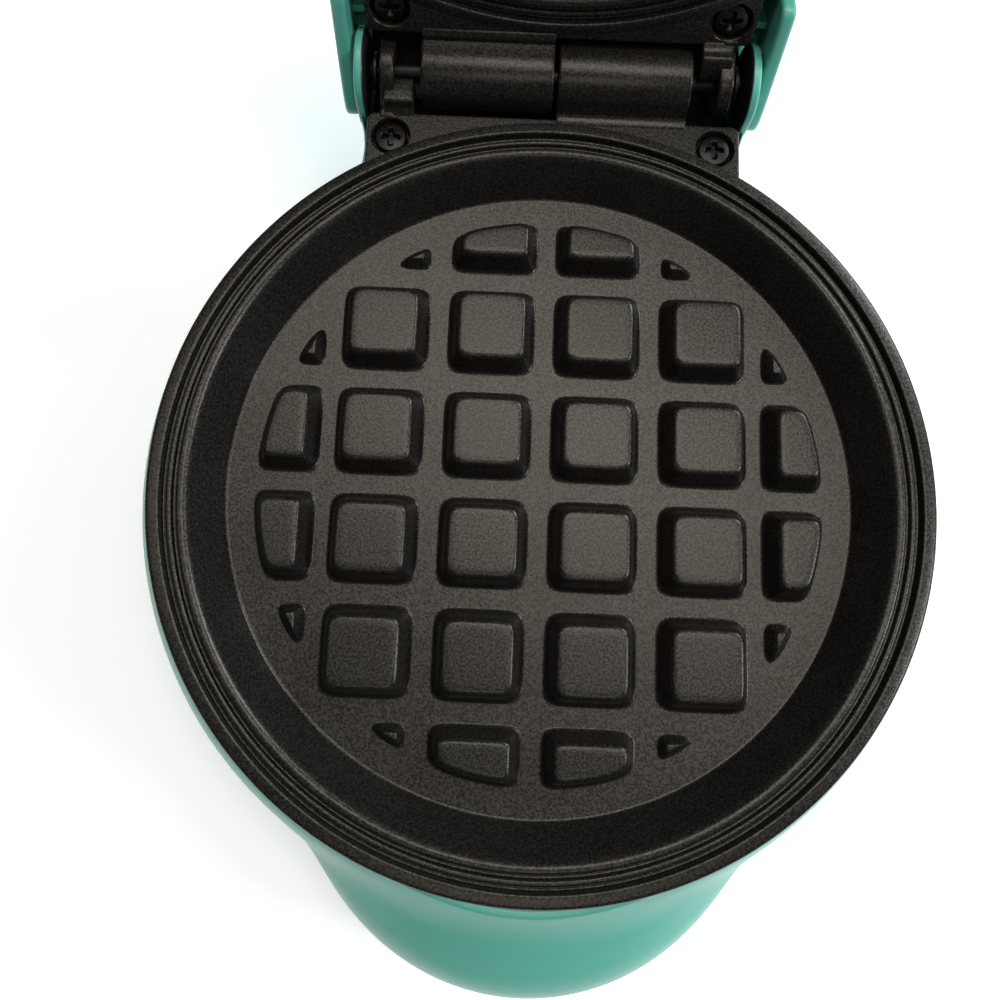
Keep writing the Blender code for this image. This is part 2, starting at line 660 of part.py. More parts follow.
def add_rings(bm, heights, radii, angles):
    """Rings of vertices, lowest first, joined by quads."""
    rings = [
        [bm.verts.new((r * math.cos(a), r * math.sin(a), z)) for r, a in zip(row, angles)]
        for z, row in zip(heights, radii)
    ]
    for lower, upper in zip(rings, rings[1:]):
        join_rings(bm, lower, upper)
    return rings


def join_rings(bm, lower, upper):
    for i in range(len(lower)):
        j = (i + 1) % len(lower)
        bm.faces.new([lower[i], lower[j], upper[j], upper[i]])


def shell_skin(name, heights, sections, material, top=None):
    """A lofted shell: outer skin, inner skin one wall inside it, and the edges between them."""
    widest = sections[int(np.argmax([row[0] for row in sections]))]
    angles = shell_angles(widest)
    heights = np.array(heights)
    outer = np.array([outline_radius(angles, *section) for section in sections])
    bm = bmesh.new()
    outer_rings = add_rings(bm, heights, outer, angles)
    if top is None:
        inner = inner_radii(heights, outer, heights)
        inner_rings = add_rings(bm, heights, inner, angles)
        join_rings(bm, outer_rings[-1], inner_rings[-1])
    else:
        scale = (top - WALL - heights[0]) / (top - heights[0])
        inner_heights = heights[0] + (heights - heights[0]) * scale
        closed = np.append(heights, top)
        inner = inner_radii(closed, np.vstack([outer, np.zeros(SHELL_RAYS)]), inner_heights)
        inner_rings = add_rings(bm, inner_heights, inner, angles)
        for ring, z in ((outer_rings[-1], top), (inner_rings[-1], top - WALL)):
            pole = bm.verts.new((0, 0, z))
            for i in range(SHELL_RAYS):
                bm.faces.new([ring[i], ring[(i + 1) % SHELL_RAYS], pole])
    join_rings(bm, outer_rings[0], inner_rings[0])
    bmesh.ops.triangulate(bm, faces=bm.faces)
    return add_object(name, mesh_of(bm, name), material)


def neck_rear_at(z):
    """Rear of the base's neck: round about the hinge, then a slope at 45 degrees below it."""
    turn = TROUGH_RADIUS * math.sin(math.pi / 4)
    if -z < turn:
        return HINGE_BACK + math.sqrt(TROUGH_RADIUS ** 2 - z ** 2)
    return HINGE_BACK + 2 * turn + z


def screw_bosses(shell, sign, wall_x):
    """Bosses for the plate's two screws, each with a rib to the side wall, and their holes."""
    edge = sign * SHELL_EDGE_Z
    deep = sign * (SHELL_EDGE_Z - BOSS_LENGTH)
    low, high = min(edge, deep), max(edge, deep)
    end = sign * (SHELL_EDGE_Z - SCREW_LENGTH)
    hole_low, hole_high = min(end, edge + sign * OVERRUN), max(end, edge + sign * OVERRUN)
    for side, (x, y) in zip("lr", mirrored_pair((SCREW_X, SCREW_Y))):
        boss = rod("boss " + side, BOSS_RADIUS, low, high, "z", (x, y, 0), cutter=True)
        wall = math.copysign(wall_x, x)
        rib = block("rib " + side, (min(x, wall), y - WALL / 2, low + OVERRUN / 2),
                    (max(x, wall), y + WALL / 2, high - OVERRUN / 2), cutter=True)
        hole = rod("boss hole " + side, SHANK_HOLE_RADIUS, hole_low, hole_high, "z",
                   (x, y, 0), cutter=True)
        combine(shell, boss, "UNION")
        combine(shell, rib, "UNION")
        combine(shell, hole, "DIFFERENCE")


def post_places():
    """Places of the posts and screws that hold the bottom cover."""
    return [(POST_PLACE_RADIUS * math.cos(a), POST_PLACE_RADIUS * math.sin(a)) for a in POST_ANGLES]


def base_shell(material):
    """The lower shell: bowl, front lip, hinge trough with its cheeks, bosses and cord outlet."""
    height = SHELL_EDGE_Z - SHELL_FOOT_Z
    rows = list(reversed(BASE_SECTION_SHARES))
    heights = [SHELL_EDGE_Z - share * height for share, _, _, _ in rows]
    sections = [
        (bulge * SHELL_RADIUS, lip * LIP_REACH, neck * BASE_NECK_HALF_WIDTH, neck_rear_at(z))
        for z, (_, bulge, lip, neck) in zip(heights, rows)
    ]
    shell = shell_skin("base_shell", heights, sections, material)

    rim_rear = HINGE_BACK + TROUGH_RADIUS - WALL / 2
    low = SHELL_EDGE_Z - WALL
    cheek = arc((HINGE_BACK, 0), CHEEK_RADIUS, math.pi, -math.pi / 8, HINGE_SIDES // 2)
    cheek += [(rim_rear, -TROUGH_TOP_DROP - WALL / 4), (rim_rear, low), (HINGE_BACK - CHEEK_RADIUS, low)]
    outer = BASE_NECK_HALF_WIDTH - LOBE_INSET
    inner = BASE_NECK_HALF_WIDTH - CHEEK_THICKNESS
    top_angle = -math.asin(TROUGH_TOP_DROP / TROUGH_RADIUS)
    low_angle = math.asin(low / TROUGH_RADIUS)
    wall = arc((HINGE_BACK, 0), TROUGH_RADIUS - 2 * LOBE_INSET, low_angle, top_angle, 5)
    wall += arc((HINGE_BACK, 0), TROUGH_RADIUS - WALL, top_angle, low_angle, 5)
    additions = [
        plate_of("cheek l", cheek, -outer, -inner, cutter=True),
        plate_of("cheek r", cheek, inner, outer, cutter=True),
        plate_of("trough rim", wall, -outer + WALL / 4, outer - WALL / 4, cutter=True),
        rod("outlet", OUTLET_RADIUS, OUTLET_REAR - OUTLET_LENGTH, OUTLET_REAR, "y",
            (0, 0, OUTLET_Z), cutter=True),
    ]
    for x, y in post_places():
        additions.append(rod("post", POST_RADIUS, COVER_INNER_Z + CLEARANCE,
                             COVER_INNER_Z + POST_LENGTH, "z", (x, y, 0), cutter=True))
    for addition in additions:
        combine(shell, addition, "UNION")
    screw_bosses(shell, 1, (inner + outer) / 2)

    swept = [(HINGE_BACK, 0)] + arc((HINGE_BACK, 0), COVER_OUTER_RADIUS + RUNNING_GAP,
                                    -math.pi / 2, 0, HINGE_SIDES)
    room = COVER_HALF_LENGTH + CLEARANCE
    cuts = [
        plate_of("hinge cover room", swept, -room, room, cutter=True),
        rod("cover seat", COVER_RADIUS + CLEARANCE, SHELL_FOOT_Z - OVERRUN,
            COVER_INNER_Z + CLEARANCE, "z", (0, 0, 0), cutter=True, sides=PLATE_SIDES),
        rod("outlet bore", GLAND_RADIUS + CLEARANCE, OUTLET_REAR - OUTLET_LENGTH - OVERRUN,
            OUTLET_REAR + OVERRUN, "y", (0, 0, OUTLET_Z), cutter=True),
    ]
    for x, y in post_places():
        cuts.append(rod("post hole", SHANK_HOLE_RADIUS, COVER_Z - OVERRUN,
                        COVER_INNER_Z + POST_LENGTH - WALL / 2, "z", (x, y, 0), cutter=True))
    for cut in cuts:
        combine(shell, cut, "DIFFERENCE")
    return smooth(settled(shell))


def lid_top_at(distance):
    """Height of the closed lid's outer skin on its front centre line."""
    height = LID_HEIGHT + SHELL_EDGE_Z
    reach = [max(row[1] * SHELL_RADIUS, row[2] * LIP_REACH) for row in LID_SECTION_SHARES]
    z = [row[0] * height - SHELL_EDGE_Z for row in LID_SECTION_SHARES]
    upper = int(np.argmax(reach))
    return float(np.interp(distance, [0] + reach[:upper:-1], [LID_HEIGHT] + z[:upper:-1]))


def lid_shell(material):
    """The closed upper shell: dome, front lip, side lobes, hinge cover and bosses."""
    height = LID_HEIGHT + SHELL_EDGE_Z
    heights = [row[0] * height - SHELL_EDGE_Z for row in LID_SECTION_SHARES]
    sections = [
        (bulge * SHELL_RADIUS, lip * LIP_REACH, neck * LID_NECK_HALF_WIDTH, rear * LID_NECK_REAR)
        for _, bulge, lip, neck, rear in LID_SECTION_SHARES
    ]
    shell = shell_skin("lid_shell", heights, sections, material, top=LID_HEIGHT)

    inner_radius = COVER_OUTER_RADIUS - COVER_WALL
    hinge = (HINGE_BACK, 0)
    cover = arc(hinge, COVER_OUTER_RADIUS, COVER_LOW_ANGLE, COVER_HIGH_ANGLE, COVER_POINTS)
    cover += arc(hinge, inner_radius, COVER_HIGH_ANGLE, COVER_LOW_ANGLE, COVER_POINTS)
    lobe_end = -math.asin(LOBE_DROP / LOBE_RADIUS)
    lobe = [(LOBE_FRONT, -LOBE_DROP)] + arc(hinge, LOBE_RADIUS, lobe_end, LOBE_TOP_ANGLE, 10)
    lobe += [(LOBE_FRONT, LOBE_TOP)]
    outer = LID_NECK_HALF_WIDTH - LOBE_INSET
    inner = LID_NECK_HALF_WIDTH - WALL + LOBE_INSET
    additions = [
        plate_of("hinge cover", cover, -COVER_HALF_LENGTH, COVER_HALF_LENGTH, cutter=True),
        plate_of("lobe l", lobe, -outer, -inner, cutter=True),
        plate_of("lobe r", lobe, inner, outer, cutter=True),
    ]
    for addition in additions:
        combine(shell, addition, "UNION")
    screw_bosses(shell, -1, (inner + outer) / 2)
    cuts = [
        rod("hinge room", inner_radius, -inner, inner, "x", (0, HINGE_BACK, 0), cutter=True,
            sides=2 * HINGE_SIDES),
        rod("lens hole", LENS_RADIUS + CLEARANCE, LID_HEIGHT / 2, LID_HEIGHT + OVERRUN, "z",
            (0, LENS_PLACE, 0), cutter=True),
    ]
    for cut in cuts:
        combine(shell, cut, "DIFFERENCE")
    return smooth(settled(shell))


# Fasteners, hinge pin, cover and feet

def pan_screw(name, material, place, up=False, length=SCREW_LENGTH):
    """A pan-head screw with a cross recess; its head's underside is at the place."""
    head = SCREW_HEAD_HEIGHT
    crown = SCREW_HEAD_RADIUS - EDGE_ROUND
    profile = [
        (0, head), (crown, head), (SCREW_HEAD_RADIUS, head - EDGE_ROUND), (SCREW_HEAD_RADIUS, 0),
        (SCREW_SHANK_RADIUS, 0), (SCREW_SHANK_RADIUS, SCREW_SHANK_RADIUS - length),
        (0, -length),
    ]
    screw = turned(name, profile, material, sides=ROUND_SIDES // 2)
    half = CROSS_WIDTH / 2
    arm = crown - half
    for across in (0, 1):
        low = (-arm, -half) if across == 0 else (-half, -arm)
        slot = block("slot", (*low, head - CROSS_DEPTH), (-low[0], -low[1], head + OVERRUN),
                     cutter=True)
        combine(screw, slot, "DIFFERENCE")
    settled(screw)
    screw.location = place
    if up:
        screw.rotation_euler = (math.pi, 0, 0)
    return smooth(screw)


def hinge_pin(material):
    """The steel pin, with a groove near each end for its clip."""
    end = EAR_OUTER + PIN_END_PLAY
    near = EAR_OUTER + CLEARANCE
    far = near + CLIP_THICKNESS + 2 * CLEARANCE
    groove = PIN_RADIUS - PIN_GROOVE_DEPTH
    top = [(0, end), (PIN_RADIUS, end), (PIN_RADIUS, far), (groove, far), (groove, near),
           (PIN_RADIUS, near)]
    profile = top + [(r, -z) for r, z in reversed(top)]
    pin = turned("hinge_pin", profile, material, place=(0, HINGE_BACK, 0))
    pin.rotation_euler = (0, math.pi / 2, 0)
    return smooth(pin)


def pin_clip(name, side, material):
    """A C-shaped clip in the pin's groove."""
    start = EAR_OUTER + 2 * CLEARANCE
    inner = PIN_RADIUS - PIN_GROOVE_DEPTH + CLEARANCE
    low, high = CLIP_MOUTH / 2, 2 * math.pi - CLIP_MOUTH / 2
    outline = arc((HINGE_BACK, 0), CLIP_RADIUS, low, high, CLIP_POINTS)
    outline += arc((HINGE_BACK, 0), inner, high, low, CLIP_POINTS)
    ends = sorted((side * start, side * (start + CLIP_THICKNESS)))
    return smooth(plate_of(name, outline, *ends, material))


def foot_places():
    """The four feet: name and place."""
    for where, angle in (("rear", REAR_FOOT_ANGLE), ("front", FRONT_FOOT_ANGLE)):
        x = FOOT_PLACE_RADIUS * math.cos(angle)
        y = FOOT_PLACE_RADIUS * math.sin(angle)
        for side, across in (("left", -1), ("right", 1)):
            yield f"foot_{where}_{side}", across * x, y


def bottom_cover(material):
    """The round plate that closes the base, with vents and holes for feet and screws."""
    cover = rod("bottom_cover", COVER_RADIUS, COVER_Z, COVER_INNER_Z, "z", (0, 0, 0), material,
                sides=PLATE_SIDES)
    low, high = COVER_Z - OVERRUN, COVER_INNER_Z + OVERRUN
    for i in range(VENT_COUNT):
        x = (i - (VENT_COUNT - 1) / 2) * VENT_HALF_WIDTH * 4
        vent = block("vent", (x - VENT_HALF_WIDTH, -VENT_PLACE_RADIUS - VENT_LENGTH / 2, low),
                     (x + VENT_HALF_WIDTH, -VENT_PLACE_RADIUS + VENT_LENGTH / 2, high), cutter=True)
        combine(cover, vent, "DIFFERENCE")
    for name, x, y in foot_places():
        hole = rod("peg hole", FOOT_PEG_RADIUS + CLEARANCE, low, high, "z", (x, y, 0), cutter=True)
        combine(cover, hole, "DIFFERENCE")
    for x, y in post_places():
        hole = rod("cover hole", SHANK_HOLE_RADIUS, low, high, "z", (x, y, 0), cutter=True)
        combine(cover, hole, "DIFFERENCE")
    return smooth(settled(cover))


def foot(name, x, y, material):
    """A push-in rubber foot: a round pad with a peg through the bottom cover."""
    top = COVER_Z - CLEARANCE
    peg_top = COVER_INNER_Z + FOOT_PEG_RADIUS / 2
    profile = [
        (0, peg_top), (FOOT_PEG_RADIUS - EDGE_ROUND, peg_top), (FOOT_PEG_RADIUS, peg_top - EDGE_ROUND),
        (FOOT_PEG_RADIUS, top), (FOOT_RADIUS, top), (FOOT_RADIUS, EDGE_ROUND - COUNTER_DROP),
        (FOOT_RADIUS - EDGE_ROUND, -COUNTER_DROP), (0, -COUNTER_DROP),
    ]
    return smooth(turned(name, profile, material, sides=ROUND_SIDES // 2, place=(x, y, 0)))


def cord_gland(material):
    """The flanged bush that lines the cord's outlet."""
    inner_end = OUTLET_REAR - OUTLET_LENGTH
    seat = OUTLET_REAR + CLEARANCE
    profile = [
        (GLAND_BORE, seat + GLAND_FLANGE), (GLAND_FLANGE_RADIUS - EDGE_ROUND, seat + GLAND_FLANGE),
        (GLAND_FLANGE_RADIUS, seat + GLAND_FLANGE - EDGE_ROUND), (GLAND_FLANGE_RADIUS, seat),
        (GLAND_RADIUS, seat), (GLAND_RADIUS, inner_end), (GLAND_BORE, inner_end),
    ]
    gland = turned("cord_gland", profile, material, place=(0, 0, OUTLET_Z))
    gland.rotation_euler = (-math.pi / 2, 0, 0)
    return smooth(gland)


# Heating parts under a plate

def element_path():
    """The element's centre line: down, a bend, round the plate in a C, a bend, and down again."""
    mouth = ELEMENT_MOUTH / 2
    start, end = math.pi / 2 - mouth, -3 * math.pi / 2 + mouth
    ring = [
        (ELEMENT_RING_RADIUS * math.cos(a), ELEMENT_RING_RADIUS * math.sin(a), ELEMENT_Z)
        for a in np.linspace(start, end, ELEMENT_POINTS)
    ]
    ends = []
    for angle, turn in ((start, 1), (end, -1)):
        base = np.array([math.cos(angle), math.sin(angle), 0]) * ELEMENT_RING_RADIUS
        along = np.array([-math.sin(angle), math.cos(angle), 0]) * turn
        bend = [
            base + along * ELEMENT_BEND * math.sin(a)
            + np.array([0, 0, ELEMENT_Z - ELEMENT_BEND * (1 - math.cos(a))])
            for a in np.radians([30, 60, 90])
        ]
        bend.append(bend[-1] - np.array([0, 0, ELEMENT_POST_LENGTH - ELEMENT_BEND]))
        ends.append([tuple(point) for point in bend])
    return list(reversed(ends[0])) + ring + ends[1]


def element_clamp(name, material):
    """The strap that holds the element to the plate's hub."""
    low = (-CLAMP_HALF_LENGTH, -CLAMP_HALF_WIDTH, CLAMP_TOP_Z - CLAMP_THICKNESS)
    strap = block(name, low, (CLAMP_HALF_LENGTH, CLAMP_HALF_WIDTH, CLAMP_TOP_Z), material)
    hole = rod("strap hole", SHANK_HOLE_RADIUS, low[2] - OVERRUN, CLAMP_TOP_Z + OVERRUN, "z",
               (0, 0, 0), cutter=True)
    combine(strap, hole, "DIFFERENCE")
    return settled(strap)


def heat_shield(name, material):
    """A thin dish hung from the plate's flange, with holes for the element's ends."""
    rim = SHELL_EDGE_Z
    step = SHIELD_THICKNESS
    neck = SHIELD_RIM_RADIUS - SHIELD_RIM_WIDTH
    profile = [
        (0, SHIELD_Z + step), (SHIELD_FLOOR_RADIUS, SHIELD_Z + step), (neck, rim - step),
        (SHIELD_RIM_RADIUS, rim), (SHIELD_RIM_RADIUS, rim - step), (neck + step, rim - 2 * step),
        (SHIELD_FLOOR_RADIUS + step, SHIELD_Z), (0, SHIELD_Z),
    ]
    shield = turned(name, profile, material, sides=PLATE_SIDES)
    path = element_path()
    for x, y, _ in (path[0], path[-1]):
        hole = rod("element hole", ELEMENT_TUBE_RADIUS + 2 * CLEARANCE, SHIELD_Z - OVERRUN,
                   SHIELD_Z + step + OVERRUN, "z", (x, y, 0), cutter=True)
        combine(shield, hole, "DIFFERENCE")
    return smooth(settled(shield))


def thermostat(material):
    """The round thermal switch against the lower plate's underside."""
    top = UNDERSIDE_Z - CLEARANCE
    bottom = top - THERMOSTAT_HEIGHT
    flange = (top + bottom) / 2
    profile = [
        (0, top), (THERMOSTAT_RADIUS - EDGE_ROUND, top), (THERMOSTAT_RADIUS, top - EDGE_ROUND),
        (THERMOSTAT_RADIUS, flange), (THERMOSTAT_FLANGE_RADIUS, flange),
        (THERMOSTAT_FLANGE_RADIUS, flange - THERMOSTAT_FLANGE_THICKNESS),
        (THERMOSTAT_RADIUS, flange - THERMOSTAT_FLANGE_THICKNESS), (THERMOSTAT_RADIUS, bottom),
        (0, bottom),
    ]
    return smooth(turned("thermostat", profile, material, place=(0, THERMOSTAT_PLACE, 0)))


def lead(name, side, material):
    """One wire from the terminal block up to an end of the lower element."""
    x, y, z = max(element_path()[0], element_path()[-1], key=lambda point: side * point[0])
    start = np.array([x, y, z - CLEARANCE])
    end = np.array([side * BLOCK_SIZE[0] / 4, BLOCK_PLACE, COVER_INNER_Z + BLOCK_SIZE[2]])
    end[2] += 2 * CLEARANCE
    down = np.array([0, 0, LEAD_STRAIGHT])
    handles = [start - down, start - 3 * down, end + 3 * down, end + down]
    points = [tuple(start)]
    for t in np.linspace(0, 1, LEAD_POINTS):
        weights = [(1 - t) ** 3, 3 * t * (1 - t) ** 2, 3 * t ** 2 * (1 - t), t ** 3]
        points.append(tuple(sum(w * h for w, h in zip(weights, handles))))
    points.append(tuple(end))
    return tube(name, points, LEAD_RADIUS, material)


# Indicator light

def indicator(lens_material, lamp_material):
    """The lens in the lid's top and the lamp that stands under it on the heat shield."""
    top = lid_top_at(-LENS_PLACE) + LENS_PROUD
    bottom = top - LENS_DEPTH
    profile = [
        (0, top), (LENS_RADIUS / 2, top - LENS_CROWN / 4), (LENS_RADIUS, top - LENS_CROWN),
        (LENS_RADIUS, bottom + LENS_FLANGE), (LENS_FLANGE_RADIUS, bottom + LENS_FLANGE),
        (LENS_FLANGE_RADIUS, bottom), (0, bottom),
    ]
    lens = smooth(turned("indicator_lens", profile, lens_material, place=(0, LENS_PLACE, 0)))
    lamp = rod("indicator_lamp", LAMP_RADIUS, SHIELD_DEPTH + CLEARANCE, bottom - CLEARANCE, "z",
               (0, LENS_PLACE, 0), lamp_material)
    return [lens, smooth(lamp)]


# Assembly

def turned_over(parts, upper_set):
    """Copies of the lower plate's set for the lid, turned half a turn about y."""
    copies = []
    for part in parts:
        copy = part.copy()
        copy.name = part.name.replace("lower_", "upper_")
        PARTS.objects.link(copy)
        copy.parent = upper_set
        copies.append(copy)
    return copies


def add_empty(name, place=(0, 0, 0), parent=None):
    empty = bpy.data.objects.new(name, None)
    PARTS.objects.link(empty)
    empty.location = place
    empty.parent = parent
    return empty


def stand_on_counter(frame):
    """Move the whole model so that the middle of its footprint is the origin, on the counter."""
    bpy.context.view_layer.update()
    corners = []
    for obj in PARTS.objects:
        if obj.type == "MESH":
            places = np.empty(len(obj.data.vertices) * 3)
            obj.data.vertices.foreach_get("co", places)
            matrix = np.array(obj.matrix_world)
            corners.append(places.reshape(-1, 3) @ matrix[:3, :3].T + matrix[:3, 3])
    corners = np.concatenate(corners)
    low, high = corners.min(axis=0), corners.max(axis=0)
    frame.location = (-(low[0] + high[0]) / 2, -(low[1] + high[1]) / 2, -low[2])
    bpy.context.view_layer.update()
    print("size", np.round(high - low, 5), "plate centre at", tuple(frame.location))


def build():
    """Make every part and put it on its body."""
    teal = finish_material("teal shell", (0.095, 0.40, 0.33), 0.30)
    cast = finish_material("non-stick coating", (0.030, 0.026, 0.024), 0.45)
    steel = finish_material("steel", (0.55, 0.55, 0.55), 0.35, 1.0)
    black_steel = finish_material("blackened screw", (0.02, 0.02, 0.02), 0.40, 0.6)
    black_plastic = finish_material("black plastic", (0.03, 0.03, 0.03), 0.50)
    rubber = finish_material("rubber", (0.04, 0.04, 0.04), 0.80)
    sheath = finish_material("element sheath", (0.25, 0.24, 0.22), 0.50, 1.0)
    ceramic = finish_material("ceramic", (0.75, 0.73, 0.68), 0.60)
    insulation = finish_material("wire insulation", (0.70, 0.68, 0.62), 0.50)
    lens_plastic = finish_material("lens", (0.75, 0.80, 0.85), 0.15)

    plate = cast_plate("lower_plate", cast)
    element = tube("lower_heating_element", element_path(), ELEMENT_TUBE_RADIUS, sheath)
    clamp = element_clamp("lower_element_clamp", steel)
    shield = heat_shield("lower_heat_shield", steel)
    clamp_place = (0, 0, CLAMP_TOP_Z - CLAMP_THICKNESS - CLEARANCE)
    clamp_screw = pan_screw("lower_clamp_screw", steel, clamp_place, up=True,
                            length=SHORT_SCREW_LENGTH)
    head_z = RECESS_Z + CLEARANCE
    plate_screws = [
        pan_screw(f"lower_plate_screw_{side}", black_steel, (x, y, head_z))
        for side, (x, y) in zip(("left", "right"), mirrored_pair((SCREW_X, SCREW_Y)))
    ]
    lower_set = [plate, element, clamp, shield, clamp_screw] + plate_screws

    base_shell(teal)
    bottom_cover(black_plastic)
    for name, x, y in foot_places():
        foot(name, x, y, rubber)
    for number, (x, y) in enumerate(post_places(), start=1):
        pan_screw(f"cover_screw_{number}", steel, (x, y, COVER_Z - CLEARANCE), up=True,
                  length=SHORT_SCREW_LENGTH)
    cord_gland(black_plastic)
    hinge_pin(steel)
    pin_clip("pin_clip_left", -1, steel)
    pin_clip("pin_clip_right", 1, steel)
    thermostat(ceramic)
    fuse_z = UNDERSIDE_Z - CLEARANCE - FUSE_RADIUS
    smooth(rod("thermal_fuse", FUSE_RADIUS, FUSE_PLACE - FUSE_LENGTH / 2,
               FUSE_PLACE + FUSE_LENGTH / 2, "x", (0, FUSE_PLACE, fuse_z), steel))
    wide, deep, tall = BLOCK_SIZE
    block("terminal_block", (-wide / 2, BLOCK_PLACE - deep / 2, COVER_INNER_Z + CLEARANCE),
          (wide / 2, BLOCK_PLACE + deep / 2, COVER_INNER_Z + CLEARANCE + tall), ceramic)
    lead("lead_left", -1, insulation)
    lead("lead_right", 1, insulation)
    base_parts = [obj for obj in PARTS.objects if obj.type == "MESH"]

    lid_parts = [lid_shell(teal)] + indicator(lens_plastic, lens_plastic)
    frame = add_empty("counter_frame")
    pivot = add_empty("lid_pivot", (0, HINGE_BACK, 0), frame)
    pivot.rotation_euler = (-OPEN_ANGLE, 0, 0)
    upper_set = add_empty("upper_set", (0, -HINGE_BACK, 0), pivot)
    upper_set.rotation_euler = (0, math.pi, 0)
    turned_over(lower_set, upper_set)
    lid_set = add_empty("lid_set", (0, -HINGE_BACK, 0), pivot)
    for part in lid_parts:
        part.parent = lid_set
    for part in base_parts:
        part.parent = frame
    stand_on_counter(frame)


clear_scene()
PARTS = new_collection("mini_waffle_maker")
CUTTERS = new_collection("cutters")
build()
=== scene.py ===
# %% [markdown]
# # A mini waffle maker, open on its hinge
# Two round castings bake a small waffle between them, and two glossy plastic shells carry them.
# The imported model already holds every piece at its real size. This lesson dresses it: each cell
# makes one piece or one finish, and says why it is made that way. Lengths are in metres.

# %% Load the frame
import json
import math

import bmesh
import bpy
import numpy as np
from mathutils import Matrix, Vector


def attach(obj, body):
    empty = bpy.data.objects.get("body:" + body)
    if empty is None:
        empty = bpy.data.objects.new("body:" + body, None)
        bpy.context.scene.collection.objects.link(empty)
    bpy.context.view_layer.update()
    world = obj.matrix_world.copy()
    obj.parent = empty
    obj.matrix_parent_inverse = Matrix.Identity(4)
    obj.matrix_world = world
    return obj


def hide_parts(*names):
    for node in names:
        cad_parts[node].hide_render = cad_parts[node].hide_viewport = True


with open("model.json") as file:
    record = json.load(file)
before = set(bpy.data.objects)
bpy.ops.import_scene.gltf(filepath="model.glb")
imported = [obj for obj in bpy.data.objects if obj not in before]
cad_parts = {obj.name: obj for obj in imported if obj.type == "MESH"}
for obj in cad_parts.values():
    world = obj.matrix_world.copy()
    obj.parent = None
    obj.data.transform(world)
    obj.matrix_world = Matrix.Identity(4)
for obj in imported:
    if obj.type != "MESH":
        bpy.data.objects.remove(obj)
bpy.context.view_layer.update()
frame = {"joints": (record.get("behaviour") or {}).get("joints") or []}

HINGE = np.array(frame["joints"][0]["pos_m"], float)
OPEN_ANGLE = math.radians(frame["joints"][0]["range_deg"][1])
print("hinge axis at", HINGE, "and the lid opens by", round(math.degrees(OPEN_ANGLE)), "degrees")

# %% [markdown]
# ## Where things are
# Every shape below is written from the centre of the lower plate, at the plane where the two rims
# meet when the lid is shut. The lid's pieces are written shut as well, because that is how they
# are drawn in a workshop, and are then swung open about the hinge.

# %% Places and swings
HINGE_BACK = 0.0674
PLATE_CENTRE = HINGE - np.array([0, HINGE_BACK, 0])


def on_base(points):
    """Moves points from the plate's own centre to their place on the base."""
    return points + PLATE_CENTRE


def on_lid(points):
    """Swings points of the shut lid open: a turn about the hinge line, which runs along x."""
    cos, sin = math.cos(-OPEN_ANGLE), math.sin(-OPEN_ANGLE)
    back = points - [0, HINGE_BACK, 0]
    y = back[..., 1] * cos - back[..., 2] * sin
    z = back[..., 1] * sin + back[..., 2] * cos
    return np.stack([back[..., 0], y, z], axis=-1) + HINGE


def turned_over(points):
    """Half a turn about y, which makes an upper casting out of a lower one."""
    return points * [-1, 1, -1]


print("plate centre", PLATE_CENTRE)

# %% [markdown]
# ## Surfaces from grids
# A surface here is a grid of points: rows run along a profile and columns run round. A grid that
# shrinks to a point at both ends, or whose last row meets its first, encloses a solid. Several
# such skins may make up one casting. numpy computes all the points at once.

# %% Grids, profiles and pieces
WELD = 1e-7
TINY = 1e-5
EDGE_STEPS = 6
MOST_OF_SIDE = 0.48
SMOOTH_ANGLE = math.radians(32)
FULL_TURN = 2 * math.pi


def turn_angles(count):
    return np.linspace(0, FULL_TURN, count, endpoint=False)


def eased(corners, radius, closed=False, steps=EDGE_STEPS):
    """A polyline with eased corners. Each corner p becomes the curve
    (1-t)^2 a + 2t(1-t) p + t^2 b, whose ends a and b lie one radius away on its two sides."""
    p = np.asarray(corners, float)
    radius = np.broadcast_to(np.asarray(radius, float), len(p))[:, None]
    before, after = np.roll(p, 1, axis=0) - p, np.roll(p, -1, axis=0) - p
    ends = []
    for side in (before, after):
        length = np.maximum(np.linalg.norm(side, axis=1, keepdims=True), WELD)
        ends.append(p + side / length * np.minimum(radius, MOST_OF_SIDE * length))
    t = np.linspace(0, 1, steps)[None, :, None]
    curve = (1 - t) ** 2 * ends[0][:, None] + 2 * t * (1 - t) * p[:, None] + t ** 2 * ends[1][:, None]
    if not closed:
        curve[0], curve[-1] = p[0], p[-1]
    flat = curve.reshape(-1, p.shape[1])
    apart = np.linalg.norm(flat - np.roll(flat, 1, axis=0), axis=1) > WELD
    apart[0] = True
    return flat[apart]


def eased_step(value, start, end):
    """0 before start, 1 after end, and 3t^2 - 2t^3 between them."""
    t = np.clip((value - start) / (end - start), 0, 1)
    return t * t * (3 - 2 * t)


def skin(rows, loop=False):
    """Quads over a grid of points. Columns close round; with loop the last row meets the first."""
    count, across = rows.shape[:2]
    index = np.arange(count * across).reshape(count, across)
    near = index if loop else index[:-1]
    far = np.roll(index, -1, axis=0) if loop else index[1:]
    quads = np.stack([near, np.roll(near, -1, 1), np.roll(far, -1, 1), far], axis=-1)
    return rows.reshape(-1, 3), quads.reshape(-1, 4).tolist()


AXES = {"x": (2, 0, 1), "y": (1, 2, 0), "z": (0, 1, 2)}


def lathe(profile, sides=96, axis="z", place=(0, 0, 0), loop=False):
    """A turned skin: (r, h) becomes (r cos a, r sin a, h), with h along the axis."""
    angles = turn_angles(sides)
    r, h = np.asarray(profile, float).T[:, :, None]
    rows = np.stack([r * np.cos(angles), r * np.sin(angles), h + 0 * angles], axis=-1)
    return skin(rows[..., list(AXES[axis])] + place, loop)


def mirrored(line):
    """A line of (radius, height), and the same line again with its height turned round."""
    return line + [(radius, -height) for radius, height in reversed(line)]


